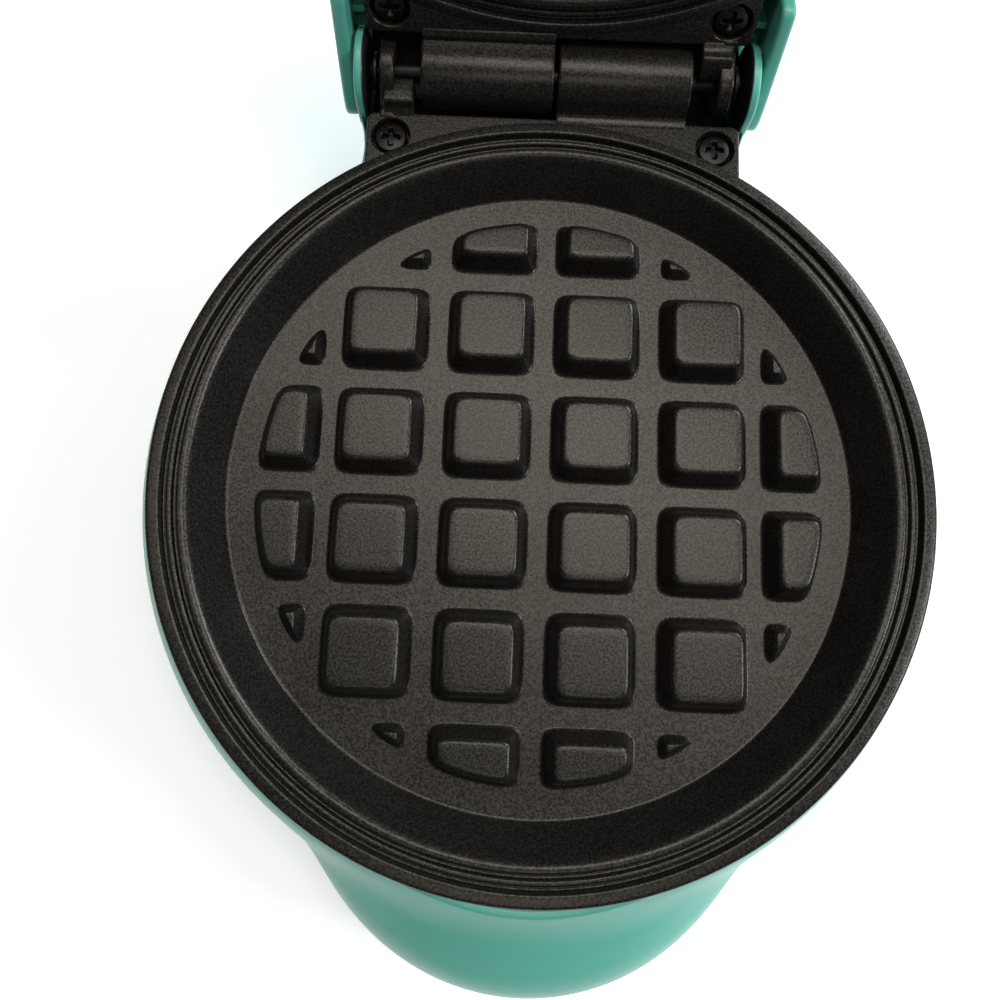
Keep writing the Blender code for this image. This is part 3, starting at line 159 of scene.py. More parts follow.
def drum(radius, low, high):
    """The line (radius, height) of a plain cylinder with flat ends."""
    return [(0, low), (radius, low), (radius, high), (0, high)]


def moved(skins, mover):
    return [(mover(points), faces) for points, faces in skins]


def capped(rings):
    """A stack of rings closed by one flat face below and one above."""
    points, faces = skin(rings)
    low = list(range(rings.shape[1]))
    return points, faces + [low, [len(points) - 1 - number for number in low]]


def mesh_from(name, skins):
    """One mesh out of several closed skins, with the shrunken ends welded and the faces out."""
    bm = bmesh.new()
    for points, faces in skins:
        part = bpy.data.meshes.new("part")
        part.from_pydata(points, [], faces)
        bm.from_mesh(part)
        bpy.data.meshes.remove(part)
    bmesh.ops.remove_doubles(bm, verts=bm.verts, dist=WELD)
    bmesh.ops.recalc_face_normals(bm, faces=bm.faces)
    mesh = bpy.data.meshes.new(name)
    bm.to_mesh(mesh)
    bm.free()
    return mesh


def linked(name, data):
    obj = bpy.data.objects.new(name, data)
    bpy.context.scene.collection.objects.link(obj)
    return obj


def cut_by(obj, cutters):
    """Cuts closed skins out of an object and keeps the result as a plain mesh."""
    for number, skins in enumerate(cutters):
        tool = linked(f"cutter_{number}", mesh_from("cutter", skins))
        change = obj.modifiers.new("cut", "BOOLEAN")
        change.operation = "DIFFERENCE"
        change.solver = "EXACT"
        change.object = tool
        graph = bpy.context.evaluated_depsgraph_get()
        obj.data = bpy.data.meshes.new_from_object(obj.evaluated_get(graph))
        obj.modifiers.clear()
        bpy.data.objects.remove(tool)
    return obj


def carved(skins, *cutters):
    """Skins with others cut out of them, as one skin that may be joined to more."""
    obj = cut_by(linked("blank", mesh_from("blank", skins)), cutters)
    points = np.array([vert.co for vert in obj.data.vertices])
    faces = [list(face.vertices) for face in obj.data.polygons]
    bpy.data.objects.remove(obj)
    return points, faces


def piece(name, skins, finish, body, nodes=()):
    """A finished piece: its mesh, smooth shading, finish and body, and the nodes it replaces."""
    obj = linked(name, mesh_from(name, skins))
    obj.data.shade_smooth()
    obj.data.set_sharp_from_angle(angle=SMOOTH_ANGLE)
    obj.data.materials.append(finish.material)
    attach(obj, body)
    for node in nodes:
        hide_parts(node)
    print(name, len(obj.data.polygons), "faces")


def twins(name, skins, finish, node):
    """Two pieces from one drawing: one on the base, and the same turned over on the lid."""
    piece(f"lower_{name}", moved(skins, on_base), finish, "base", [f"lower_{node}"])
    piece(f"upper_{name}", moved(moved(skins, turned_over), on_lid), finish, "lid", [f"upper_{node}"])


# %% [markdown]
# ## Writing finishes as sums
# A finish is a small network of nodes. It reads best as arithmetic, so a socket is wrapped in a
# class whose operators add the Math nodes, and every other node comes from one method.

# %% Sockets that can be added and multiplied
class Wire:
    """A socket that takes part in Python sums; each operator adds the Math node that does it."""

    def __init__(self, network, output):
        self.network = network
        self.output = output

    def with_value(self, operation, other):
        return self.network.node("ShaderNodeMath", {"operation": operation}, 0, {0: self, 1: other})

    def __add__(self, other):
        return self.with_value("ADD", other)

    def __mul__(self, other):
        return self.with_value("MULTIPLY", other)

    __radd__ = __add__
    __rmul__ = __mul__


class Network:
    """A tree of nodes, the one method that adds a node to it, and two nodes used often."""

    def __init__(self, tree):
        self.tree = tree

    def feed(self, slot, value):
        """Links a wire to a slot, or writes a plain value there."""
        if isinstance(value, Wire):
            self.tree.links.new(value.output, slot)
        elif slot.type == "RGBA":
            slot.default_value = (*value, 1.0)
        else:
            slot.default_value = value

    def node(self, kind, settings=None, output=0, sockets=None, **named):
        """Adds a node, sets what settings name, feeds its sockets and returns one output. Sockets
        are given by name, or by number in a dictionary where a node repeats its names."""
        node = self.tree.nodes.new(kind)
        for key, value in (settings or {}).items():
            setattr(node, key, value)
        for key, value in (sockets or {}).items():
            self.feed(node.inputs[key], value)
        for key, value in named.items():
            self.feed(node.inputs[key.replace("_", " ")], value)
        return Wire(self, node.outputs[output])

    def between(self, share, low, high):
        """A colour from low to high as share goes from 0 to 1."""
        return self.node("ShaderNodeMix", {"data_type": "RGBA"}, 2, {0: share, 6: low, 7: high})

    def spread(self, value, low, high):
        """Maps the band from low to high onto 0 to 1, eased at both ends."""
        return self.node("ShaderNodeMapRange", {"interpolation_type": "SMOOTHSTEP"},
                         Value=value, From_Min=low, From_Max=high)


class Finish(Network):
    """A material with one Principled shader, whose sockets are set or worn."""

    def __init__(self, name, slot="", **constant):
        self.material = bpy.data.materials.new(name)
        self.material.use_nodes = True
        self.slot = slot
        super().__init__(self.material.node_tree)
        self.shader = self.tree.nodes["Principled BSDF"]
        self.wear(**constant)
        self.place = self.node("ShaderNodeTexCoord", output="Object")

    def wear(self, **values):
        for socket, value in values.items():
            self.feed(self.shader.inputs[socket.replace("_", " ")], value)

    def noise(self, size, detail=2.0, stretch=None):
        """Cloudy noise whose blobs are about one size across, from 0 to 1."""
        where = self.place
        if stretch:
            where = self.node("ShaderNodeMapping", Vector=where, Scale=stretch)
        return self.node("ShaderNodeTexNoise", Vector=where, Scale=1 / size, Detail=detail)

    def rough_skin(self, height, depth, strength=1.0):
        """Feeds a height from 0 to 1 to the normal, as a relief of that depth."""
        self.wear(Normal=self.node("ShaderNodeBump", Height=height, Distance=depth, Strength=strength))


def mottled(name, slot, size, shades, roughness, relief=None, detail=3.0, **constant):
    """A finish whose colour goes between two shades with one cloudy noise, and its roughness from
    a base by a swing. A relief has a grain size, a depth and a strength."""
    finish = Finish(name, slot, **constant)
    share = finish.noise(size, detail)
    base, swing = roughness
    finish.wear(Base_Color=finish.between(share, *shades), Roughness=base + swing * share)
    if relief:
        grain, depth, strength = relief
        finish.rough_skin(finish.noise(grain), depth, strength)
    return finish


# %% [markdown]
# ## The non-stick coating
# The castings are sprayed with a dark coating that bakes to a fine satin grain. Close up it is a
# warm charcoal with paler and darker flecks about a third of a millimetre across. One noise makes
# the flecks, a finer one makes the relief, and a broad one lets the sheen vary a little.

# %% Non-stick coating
FLECK_SIZE = 0.00036
FLECK_BAND = (0.36, 0.66)
GRAIN_SIZE = 0.00022
GRAIN_DEPTH = 0.00004
CLOUD_SIZE = 0.0200
COAT_DARKEST = (0.0160, 0.0140, 0.0115)
COAT_DARK = (0.0200, 0.0175, 0.0146)
COAT_FLECK = (0.043, 0.038, 0.032)


def coated_casting():
    finish = Finish("non_stick_coating", "coated_casting", Metallic=0.65, Specular_IOR_Level=0.22)
    fleck = finish.spread(finish.noise(FLECK_SIZE, detail=3.0), *FLECK_BAND)
    cloud = finish.noise(CLOUD_SIZE)
    finish.wear(
        Base_Color=finish.between(fleck, finish.between(cloud, COAT_DARKEST, COAT_DARK), COAT_FLECK),
        Roughness=0.23 + 0.07 * fleck + 0.04 * cloud,
    )
    finish.rough_skin(finish.noise(GRAIN_SIZE, detail=3.0), GRAIN_DEPTH, 0.6)
    return finish


COATING = coated_casting()
print("coating with", len(COATING.tree.nodes), "nodes")

# %% [markdown]
# ## The casting in section
# A plate is turned about its middle: a flat floor, a drafted wall, a round lip, then a groove, a
# low ridge and a slot that keep steam and batter in, and a flat rim. Real die-cast corners are
# never sharp, so each corner has its own small radius. The profile is carried round a circle.

# %% The turned part of a plate
PLATE_RADIUS = 0.0600
FLOOR_RADIUS = 0.0497
LIP_RADIUS = 0.0538
PAN_DEPTH = 0.0075
PLATE_WALL = 0.0025
RIM_TOP = -0.0002
FLOOR_Z = RIM_TOP - PAN_DEPTH
UNDER_Z = FLOOR_Z - PLATE_WALL
FLANGE_UNDER = -0.0034
GROOVE_DEPTH = 0.0012
RIDGE_DROP = 0.0005
RIM_SLOPE = 0.0002
SLOT_DEPTH = 0.0015
# The sealing steps of the rim, from the pan's lip out: (radius, depth below the rim, easing).
RIM_STEPS = [
    (0.0552, 0, 0.0005), (0.0554, GROOVE_DEPTH, 0.0002), (0.0559, GROOVE_DEPTH, 0.0002),
    (0.0561, RIDGE_DROP, 0.0003), (0.0568, RIDGE_DROP, 0.0003), (0.0570, SLOT_DEPTH, 0.0002),
    (0.0576, SLOT_DEPTH, 0.0002), (0.0578, 0, 0.0004), (PLATE_RADIUS, RIM_SLOPE, 0.0007),
]
PLATE_SIDES = 288
HUB_RADIUS = 0.0045
HUB_HOLE = 0.0016
HUB_END = -0.0165
HUB_HOLE_END = UNDER_Z + 0.0003


def plate_profile():
    """Corners (radius, height, easing) from the middle of the floor out, down and back in."""
    corners = np.array([
        (0, FLOOR_Z, 0), (FLOOR_RADIUS, FLOOR_Z, 0.0004), (LIP_RADIUS, RIM_TOP, 0.0012),
        *[(radius, RIM_TOP - depth, easing) for radius, depth, easing in RIM_STEPS],
        (PLATE_RADIUS, FLANGE_UNDER, 0.0004), (LIP_RADIUS + PLATE_WALL, FLANGE_UNDER, 0.0004),
        (FLOOR_RADIUS + PLATE_WALL, UNDER_Z, 0.0010), (HUB_RADIUS, UNDER_Z, 0.0008),
        (HUB_RADIUS, HUB_END, 0.0003), (HUB_HOLE, HUB_END, 0.0003),
        (HUB_HOLE, HUB_HOLE_END, 0), (0, HUB_HOLE_END, 0),
    ])
    return eased(corners[:, :2], corners[:, 2])


print("plate section with", len(plate_profile()), "points")

# %% [markdown]
# ## Studs
# The studs press the squares into the waffle. Each is a drafted block whose outline is a square
# cut by the round edge of the field. From the stud's middle, a ray meets each wall at some
# distance d; the outline lies at (sum of d^-p)^(-1/p), which follows the nearest wall and eases
# the corners. Moving all walls in with height gives the draft, and a curve at foot and top gives
# the fillets. Studs at the field's edge are left as slivers and little peaks, as on the casting.

# %% Studs
STUD_PITCH = 0.01725
STUD_FOOT = 0.0134
STUD_DRAFT = 0.0012
STUD_HEIGHT = 0.0048
STUD_FIELD = 0.0448
STUD_ROWS = 6
STUD_SIDES = 64
CORNER_POWER = 7.0
PEAK_POWER = 3.2
EDGE_DRAW_IN = 0.0008
FOOT_SPREAD = 0.0011
TOP_EASE = 0.0015
STUD_EASE = 0.0012
LEAST_WIDTH = 0.0010
CELL_SAMPLES = 61
PEAK_DEPTH = 0.0036
PEAK_REACH = 2.3
PEAK_DRAFT = 0.7
PEAK_TOP = 0.97
SUNK = 0.0008
FOOT_DIP = 0.00001


def stud_centre(middle, whole):
    """Where a stud's rays start, and how deep that lies inside its walls, by sampling its cell."""
    side = np.linspace(-STUD_FOOT / 2, STUD_FOOT / 2, CELL_SAMPLES)
    grid = np.stack(np.meshgrid(side, side), axis=-1).reshape(-1, 2)
    depth = STUD_FOOT / 2 - np.abs(grid).max(axis=1)
    if whole:
        return middle, depth.max()
    depth = np.minimum(depth, STUD_FIELD - np.hypot(*(grid + middle).T))
    centre = grid[depth > depth.max() / 2].mean(axis=0) + middle
    return centre, depth.max()


def stud_levels(depth):
    """Levels (inset, height, scale): sunk foot, fillet, drafted wall, eased top, closed middle."""
    share = min(1.0, depth / PEAK_DEPTH)
    draft, top_inset = STUD_DRAFT, STUD_DRAFT + TOP_EASE
    if share < 1:
        draft, top_inset = PEAK_DRAFT * depth, PEAK_TOP * depth
    line = eased([(-FOOT_SPREAD * share, -FOOT_DIP), (0, 0), (draft, STUD_HEIGHT * share),
                  (top_inset, STUD_HEIGHT * share)], STUD_EASE * share, steps=7)
    insets = np.concatenate([[line[0, 0]] * 2, line[:, 0], [line[-1, 0]] * 2])
    heights = np.concatenate([[-SUNK] * 2, line[:, 1], [line[-1, 1]] * 2])
    scales = np.concatenate([[0, 1], np.ones(len(line)), [0.5, 0]])
    return insets[:, None], heights[:, None] + FLOOR_Z, scales[:, None]


def stud(middle, whole):
    """One stud as rings round its centre, from its sunk foot to the middle of its top."""
    centre, depth = stud_centre(middle, whole)
    inset, height, scale = stud_levels(depth)
    cos, sin = np.cos(turn_angles(STUD_SIDES)), np.sin(turn_angles(STUD_SIDES))
    away = centre - middle
    walls = [
        (STUD_FOOT / 2 - inset - np.sign(cos) * away[0]) / np.maximum(np.abs(cos), WELD),
        (STUD_FOOT / 2 - inset - np.sign(sin) * away[1]) / np.maximum(np.abs(sin), WELD),
    ]
    if not whole:
        along = centre[0] * cos + centre[1] * sin
        reach = (STUD_FIELD - inset) ** 2 - centre @ centre + along ** 2
        walls.append(np.sqrt(np.maximum(reach, WELD)) - along)
    power = CORNER_POWER
    if depth < PEAK_DEPTH:
        walls.append((PEAK_REACH * depth - inset) + 0 * cos)
        power = PEAK_POWER
    reach = sum(np.maximum(wall, WELD) ** -power for wall in walls) ** (-1 / power)
    x = centre[0] + scale * reach * cos
    y = centre[1] + scale * reach * sin
    return skin(np.stack([x, y, height + 0 * x], axis=-1))


def stud_field():
    places = (np.arange(STUD_ROWS) - (STUD_ROWS - 1) / 2) * STUD_PITCH
    studs = []
    for y in places:
        for x in places:
            near = np.maximum(np.abs([x, y]) - STUD_FOOT / 2, 0)
            if np.hypot(*near) + LEAST_WIDTH < STUD_FIELD:
                drawn_in = EDGE_DRAW_IN * np.sign(x) * (abs(x) > 2 * STUD_PITCH)
                whole = max(abs(x), abs(y)) < 2 * STUD_PITCH
                studs.append(stud(np.array([x - drawn_in, y]), whole))
    return studs


print(len(stud_field()), "studs")

# %% [markdown]
# ## The hinge tab
# Behind the pan the casting runs out into a flat tab with round corners. Two screws sit in it, in
# round recesses with an eased edge. Its outline is moved in a little at the top and bottom, which
# rounds its edges; its front follows the pan, so that the steam slot stays open.

# %% The tab with its two screw recesses
TAB_HALF = 0.0304
TAB_REAR = 0.0604
TAB_CORNER = 0.0014
TAB_TOP = -0.0004
TAB_INNER = 0.0584
TAB_EASE = 0.0005
SCREW_X = 0.0264
SCREW_Y = 0.0563
RECESS_RADIUS = 0.0031
RECESS_DEPTH = 0.0018
RECESS_FLARE = 0.0006
RECESS_EASE = 0.0003
SHANK_HOLE = 0.0016
CLEAR = 0.001


def tab_plan(inset):
    """The tab's outline (x, y): two eased corners behind, and an arc along the pan in front."""
    half, rear = TAB_HALF - inset, TAB_REAR - inset
    start = math.acos(half / TAB_INNER)
    front = np.linspace(math.pi - start, start, 41)
    arc = np.stack([TAB_INNER * np.cos(front), TAB_INNER * np.sin(front)], axis=1)
    corner = eased([arc[-1], (half, rear), (-half, rear), arc[0]], TAB_CORNER - inset)
    return np.concatenate([arc, corner[1:-1]])


def tab():
    """The tab as rings of its outline, with the screw recesses cut into it."""
    line = eased([(TAB_EASE, FLANGE_UNDER), (0, FLANGE_UNDER), (0, TAB_TOP), (TAB_EASE, TAB_TOP)],
                 TAB_EASE)
    plans = [(tab_plan(inset), z) for inset, z in line]
    rings = np.array([np.c_[plan, np.full(len(plan), z)] for plan, z in plans])
    recess = eased([(0, TAB_TOP - RECESS_DEPTH), (RECESS_RADIUS, TAB_TOP - RECESS_DEPTH),
                    (RECESS_RADIUS, TAB_TOP - 0.0001),
                    (RECESS_RADIUS + RECESS_FLARE, TAB_TOP + RECESS_FLARE / 2),
                    (0, TAB_TOP + 2 * CLEAR)], RECESS_EASE)
    hole = drum(SHANK_HOLE, FLANGE_UNDER - CLEAR, TAB_TOP - CLEAR)
    cutters = []
    for x in (-SCREW_X, SCREW_X):
        cutters.append([lathe(recess, 64, place=(x, SCREW_Y, 0))])
        cutters.append([lathe(hole, 32, place=(x, SCREW_Y, 0))])
    return carved([capped(rings)], *cutters)


# %% [markdown]
# ## Ears and barrels
# Each casting carries half of the hinge: one thick barrel and one thin ear, both bored for the
# pin. A leg is its side view carried along x. The surface goes over the outside, rounds the
# edges, crosses the end faces and comes back through the bore, so its last row meets its first.

# %% Ears and barrels
BARREL_RADIUS = 0.0056
BARREL_NEAR = 0.00035
BARREL_FAR = 0.0217
EAR_RADIUS = 0.0050
EAR_INNER = 0.0260
EAR_OUTER = 0.0284
PIN_RADIUS = 0.0015
BORE_RADIUS = PIN_RADIUS + 0.0003
BORE_FLARE = 0.0005
BORE_EASE = 0.0003
LEG_EASE = 0.0005
LEG_ROUND = 0.0012
LEG_SIDES = 72
LEG_START = math.radians(-125)
BARREL_TURN = math.radians(165)
EAR_TURN = math.radians(140)
# The root of a leg against the tab: (distance behind the tab's rear edge, height).
LEG_ROOT = [(-0.0010, FLANGE_UNDER + 0.0002), (-0.0010, TAB_TOP + 0.0001),
            (0.0002, TAB_TOP + 0.0004), (0.0009, TAB_TOP + 0.0002)]
EAR_FOOT_INNER = 0.0228
EAR_FOOT_OUTER = EAR_OUTER - 0.0006
EAR_FOOT_REACH = 0.0049
EAR_FOOT_TOP = 0.0020
EAR_FOOT_EASE = 0.0006
EAR_FOOT = [(-0.0008, FLANGE_UNDER + 0.0002), (-0.0008, TAB_TOP - 0.0002),
            (0.0003, TAB_TOP + 0.0008), (0.0007, EAR_FOOT_TOP), (EAR_FOOT_REACH, EAR_FOOT_TOP),
            (EAR_FOOT_REACH, FLANGE_UNDER + 0.0002)]


def arc_about_hinge(radius, angles):
    """Points (y, z) of an arc about the hinge line."""
    return np.stack([HINGE_BACK + radius * np.cos(angles), radius * np.sin(angles)], axis=1)


def leg_side_view(radius, turn):
    """Side view (y, z): the tab's rear, a low bead, a hollow, then round the hinge line."""
    root = eased(np.array(LEG_ROOT) + [TAB_REAR, 0], 0.0004, steps=4)
    return np.concatenate([root, arc_about_hinge(radius, np.linspace(turn, LEG_START, LEG_SIDES))])


def inward(outline, middle):
    """At each point of a closed outline, the direction square to it that points inside."""
    step = np.roll(outline, -1, axis=0) - np.roll(outline, 1, axis=0)
    normal = np.stack([-step[:, 1], step[:, 0]], axis=1)
    normal /= np.maximum(np.linalg.norm(normal, axis=1, keepdims=True), WELD)
    return normal * (np.sign(((middle - outline) * normal).sum()) or 1.0)


def carried(outline, way, line):
    """Rings of a side view carried along x: one for each (distance moved that way, x) of a line."""
    return [np.c_[np.full(len(outline), x), outline + distance * way] for distance, x in line]


def leg(outline, start, end):
    """Carries a side view along x on the outside, and a circle back through the bore."""
    middle = np.array([HINGE_BACK, 0])
    outside = eased([(LEG_ROUND, start), (0, start), (0, end), (LEG_ROUND, end)], LEG_EASE)
    flare = BORE_RADIUS + BORE_FLARE
    bore = eased([(flare, end), (BORE_RADIUS, end), (BORE_RADIUS, start), (flare, start)], BORE_EASE)
    away = outline - middle
    away /= np.linalg.norm(away, axis=1, keepdims=True)
    rings = carried(outline, inward(outline, middle), outside) + carried(middle + 0 * away, away, bore)
    return skin(np.array(rings), loop=True)


def side_plate(outline, start, end, ease=LEG_EASE, middle=None):
    """A solid plate: a side view carried along x with eased edges and closed ends."""
    outline = np.asarray(outline, float)
    middle = outline.mean(axis=0) if middle is None else np.asarray(middle)
    line = eased([(2 * ease, start), (0, start), (0, end), (2 * ease, end)], ease)
    ends = [np.tile([x, *middle], (len(outline), 1)) for x in (start, end)]
    return skin(np.array([ends[0], *carried(outline, inward(outline, middle), line), ends[1]]))


def casting():
    """All skins of a lower casting, from its own centre."""
    barrel = leg(leg_side_view(BARREL_RADIUS, BARREL_TURN), BARREL_NEAR, BARREL_FAR)
    ear = leg(leg_side_view(EAR_RADIUS, EAR_TURN), -EAR_OUTER, -EAR_INNER)
    foot_view = eased(np.array(EAR_FOOT) + [TAB_REAR, 0], EAR_FOOT_EASE, closed=True)
    foot = side_plate(foot_view, -EAR_FOOT_OUTER, -EAR_FOOT_INNER)
    return [lathe(plate_profile(), PLATE_SIDES), *stud_field(), tab(), barrel, ear, foot]


twins("casting", casting(), COATING, "plate")

# %% [markdown]
# ## Screws
# Each casting is held by two blackened pan-head screws with a cross recess. The head is a height
# above each point of a disc: a flattened dome, less a cross whose arms get shallower outwards.
# The rings lie close together, so that the walls of the cross come out crisp.

# %% Screws
SCREW_HEAD_RADIUS = 0.0027
SCREW_HEAD_HEIGHT = 0.0013
SCREW_LENGTH = 0.0090
SHORT_SCREW_LENGTH = 0.0065
SHANK_RADIUS = 0.0013
CROWN_SHARE = 0.22
HEAD_EDGE = 0.88
HEAD_EDGE_DROP = 0.0004
CROSS_HALF_WIDTH = 0.00034
CROSS_WALL = 0.00014
CROSS_FLAT = 0.55
CROSS_REACH = 0.0017
CROSS_DEPTH = 0.0009
WELL_RADII = (0.0004, 0.0008)
THREAD_PITCH = 0.0008
THREAD_DEPTH = 0.00016
THREAD_START = (0.03, 0.1)
HEAD_RINGS = 34
SHANK_RINGS = 60
SCREW_SIDES = 96
DARKER = 0.6


def screw(length=SCREW_LENGTH):
    """A screw with its head's underside at the origin and its shank going down. The rings go from
    the middle of the head to its edge, under it, down the thread and to the tip."""
    angles = turn_angles(SCREW_SIDES)
    radius = np.linspace(0, SCREW_HEAD_RADIUS, HEAD_RINGS)[:, None]
    x, y = radius * np.cos(angles), radius * np.sin(angles)
    crown = SCREW_HEAD_HEIGHT * (1 - CROWN_SHARE * (radius / SCREW_HEAD_RADIUS) ** 2)
    edge = eased_step(radius, HEAD_EDGE * SCREW_HEAD_RADIUS, SCREW_HEAD_RADIUS)
    arm = 1 - eased_step(np.minimum(abs(x), abs(y)), CROSS_HALF_WIDTH, CROSS_HALF_WIDTH + CROSS_WALL)
    fade = 1 - eased_step(radius, CROSS_FLAT * CROSS_REACH, CROSS_REACH)
    well = 1 - eased_step(radius, *WELL_RADII)
    head = crown - HEAD_EDGE_DROP * edge - CROSS_DEPTH * np.maximum(arm * fade, well)
    turns = np.linspace(0, 1, SHANK_RINGS)[:, None]
    down = -turns * (length - SHANK_RADIUS)
    thread = THREAD_DEPTH * np.cos(angles + FULL_TURN * down / THREAD_PITCH)
    shank = SHANK_RADIUS - THREAD_DEPTH + thread * eased_step(turns, *THREAD_START)
    rings = [(radius, head), (radius[-1:], 0 * radius[-1:]), (shank, down),
             (0 * radius[:1], 0 * radius[:1] - length)]
    return skin(np.concatenate([
        np.stack([r * np.cos(angles), r * np.sin(angles), h + 0 * angles], axis=-1)
        for r, h in rings]))


def screw_metal(name, slot, colour, roughness):
    """Steel with a faint grain, whose darker flecks are also a little smoother."""
    shades = (tuple(DARKER * part for part in colour), colour)
    return mottled(name, slot, 0.0006, shades, (roughness - 0.08, 0.2), (0.0003, 0.00001, 0.4),
                   Metallic=0.85)


BLACK_STEEL = screw_metal("blackened_steel", "black_steel", (0.019, 0.018, 0.017), 0.30)
STEEL = screw_metal("plain_steel", "steel", (0.56, 0.55, 0.53), 0.34)
HEAD_Z = TAB_TOP - RECESS_DEPTH + 0.0003
for side, x in (("left", -SCREW_X), ("right", SCREW_X)):
    seated = moved([screw()], lambda points: points + [x, SCREW_Y, HEAD_Z])
    twins(f"screw_{side}", seated, BLACK_STEEL, f"plate_screw_{side}")

# %% [markdown]
# ## Glossy shells
# The shells are moulded in a glossy teal plastic. A moulding's gloss is never perfect: it has a
# very faint waviness, and light handling dulls it in patches. The colour hardly varies. Inside
# the hinge, where the shells meet the castings, the colour is painted black as shade, because
# those deep gaps lie in shadow.

# %% Teal plastic
TROUGH_HALF = 0.0309
PAINT_EDGE = 0.0002
TEAL_LOW = (0.076, 0.342, 0.262)
TEAL_HIGH = (0.092, 0.385, 0.302)
TEAL_FLECK = (0.100, 0.410, 0.322)
# Painted shade: the near-black laid inside the hinge stands in for the shadow in its deep gaps.
HINGE_SHADE_BLACK = (0.012, 0.011, 0.010)
TEAL_CLOUD_SIZE = 0.030
TEAL_FLECK_SIZE = 0.0011
TEAL_WAVE_SIZE = 0.0040
BASE_SHADE_RADIUS = 0.0118
LID_SHADE_RADIUS = 0.0091


def teal_plastic(name, shade_radius):
    """Teal, with black painted shade where the hinge line is nearer than shade_radius, within the
    trough.
    """
    finish = Finish(name, "shell", Coat_Weight=0.20, Coat_Roughness=0.16)
    cloud = finish.noise(TEAL_CLOUD_SIZE, detail=3.0)
    fine = finish.noise(TEAL_FLECK_SIZE)
    tone = finish.between(cloud, TEAL_LOW, TEAL_HIGH)
    teal = finish.between(fine * 0.5, tone, TEAL_FLECK)
    # The mask of the painted shade: near the hinge line and between the cheeks.
    from_hinge = finish.node("ShaderNodeMapping", Vector=finish.place, Scale=(0, 1, 1),
                             Location=(0, -HINGE[1], -HINGE[2]))
    reach = finish.node("ShaderNodeVectorMath", {"operation": "LENGTH"}, 1, Vector=from_hinge)
    across = finish.node("ShaderNodeSeparateXYZ", Vector=finish.place)
    across = finish.node("ShaderNodeMath", {"operation": "ABSOLUTE"}, 0, {0: across})
    beyond = finish.spread(reach, shade_radius, shade_radius + PAINT_EDGE)
    beside = finish.spread(across, TROUGH_HALF, TROUGH_HALF + PAINT_EDGE)
    outside = beyond.with_value("MAXIMUM", beside)
    finish.wear(
        Base_Color=finish.between(outside, HINGE_SHADE_BLACK, teal),
        Roughness=0.33 + 0.12 * cloud + 0.05 * fine,
    )
    finish.rough_skin(finish.noise(TEAL_WAVE_SIZE, detail=1.0), 0.00003, 0.35)
    return finish


# The base and the lid differ only in how far the painted shade reaches from the hinge line.
TEAL = teal_plastic("teal_plastic", BASE_SHADE_RADIUS)
LID_TEAL = teal_plastic("teal_plastic_lid", LID_SHADE_RADIUS)
print("two teal finishes, black inside the hinge")

# %% [markdown]
# ## The plan of a shell
# Seen from above, a shell is a circle with a round grip lip in front and a straight-sided neck
# behind. Along a ray from the middle, each of the three has its own reach; the outline is
# (sum of reach^n)^(1/n), which follows the longest and eases the place where two of them meet.

# %% Outline of a shell
SHELL_RADIUS = 0.0635
LIP_REACH = 0.0775
LIP_SHARE = 0.53
CHEEK_FRONT = 0.0620
NECK_TUCK = 0.0013
LIP_BLEND = 24
NECK_BLEND = 48
SHELL_RAYS = 320
FINE_RAYS = 4001
RAY_NECK_REAR = HINGE_BACK + 0.011
TURN_WEIGHT = 0.006
CHEEK_RUN = 0.0022
WALL = 0.0020
SHELL_EDGE = 0.0037
EDGE_BULGE = 0.0006
INNER_SHARE = 0.85
PROBE_SHARE = 0.7


def ray_angles():
    """Rays that crowd at the neck's corners and at the roots of the lip: they are equally far
    apart in a sum of the outline's length and how much it turns."""
    fine = np.linspace(-math.pi / 2, 1.5 * math.pi, FINE_RAYS)
    reach = plan_reach(fine, SHELL_RADIUS, LIP_REACH, BASE_NECK_HALF, RAY_NECK_REAR)
    step = np.diff(np.stack([reach * np.cos(fine), reach * np.sin(fine)], axis=1), axis=0)
    heading = np.unwrap(np.arctan2(step[:, 1], step[:, 0]))
    weight = np.hypot(*step.T) + TURN_WEIGHT * np.abs(np.gradient(heading))
    total = np.concatenate([[0], np.cumsum(weight)])
    return np.interp(np.arange(SHELL_RAYS) / SHELL_RAYS * total[-1], total, fine)


def plan_reach(angles, bulge, lip_reach, neck_half, neck_rear, tuck=0.0):
    """Reach of the outline along each ray; the sizes may be columns, one row a level. The neck
    is narrower by tuck in front of the cheeks, where the casting's tab covers it."""
    cos, sin = np.cos(angles), np.sin(angles)
    rear = np.maximum(sin, TINY)
    back = neck_half * rear / np.maximum(np.abs(cos), TINY)
    half = neck_half - tuck * (1 - eased_step(back, CHEEK_FRONT - CHEEK_RUN, CHEEK_FRONT))
    neck = ((np.abs(cos) / half) ** NECK_BLEND + (rear / neck_rear) ** NECK_BLEND)
    neck = np.where(sin > 0, neck ** (-1 / NECK_BLEND), 0)
    reach = (bulge ** NECK_BLEND + neck ** NECK_BLEND) ** (1 / NECK_BLEND)
    centre = lip_reach * LIP_SHARE
    disc = lip_reach - centre
    towards = -sin * centre
    room = towards ** 2 - centre ** 2 + disc ** 2
    lip = np.where((room > 0) & (towards > 0), towards + np.sqrt(np.maximum(room, 0)), 0)
    return (reach ** LIP_BLEND + lip ** LIP_BLEND) ** (1 / LIP_BLEND)


def through(table, count):
    """Smooth rows between the rows of a table: a Catmull-Rom curve in every column."""
    table = np.asarray(table, float)
    padded = np.concatenate([2 * table[:1] - table[1:2], table, 2 * table[-1:] - table[-2:-1]])
    t = np.linspace(0, len(table) - 1, count)
    cell = np.minimum(t.astype(int), len(table) - 2)
    t = (t - cell)[:, None]
    a, b, c, d = (padded[cell + step] for step in range(4))
    return b + 0.5 * t * (c - a + t * (2 * a - 5 * b + 4 * c - d + t * (3 * (b - c) + d - a)))


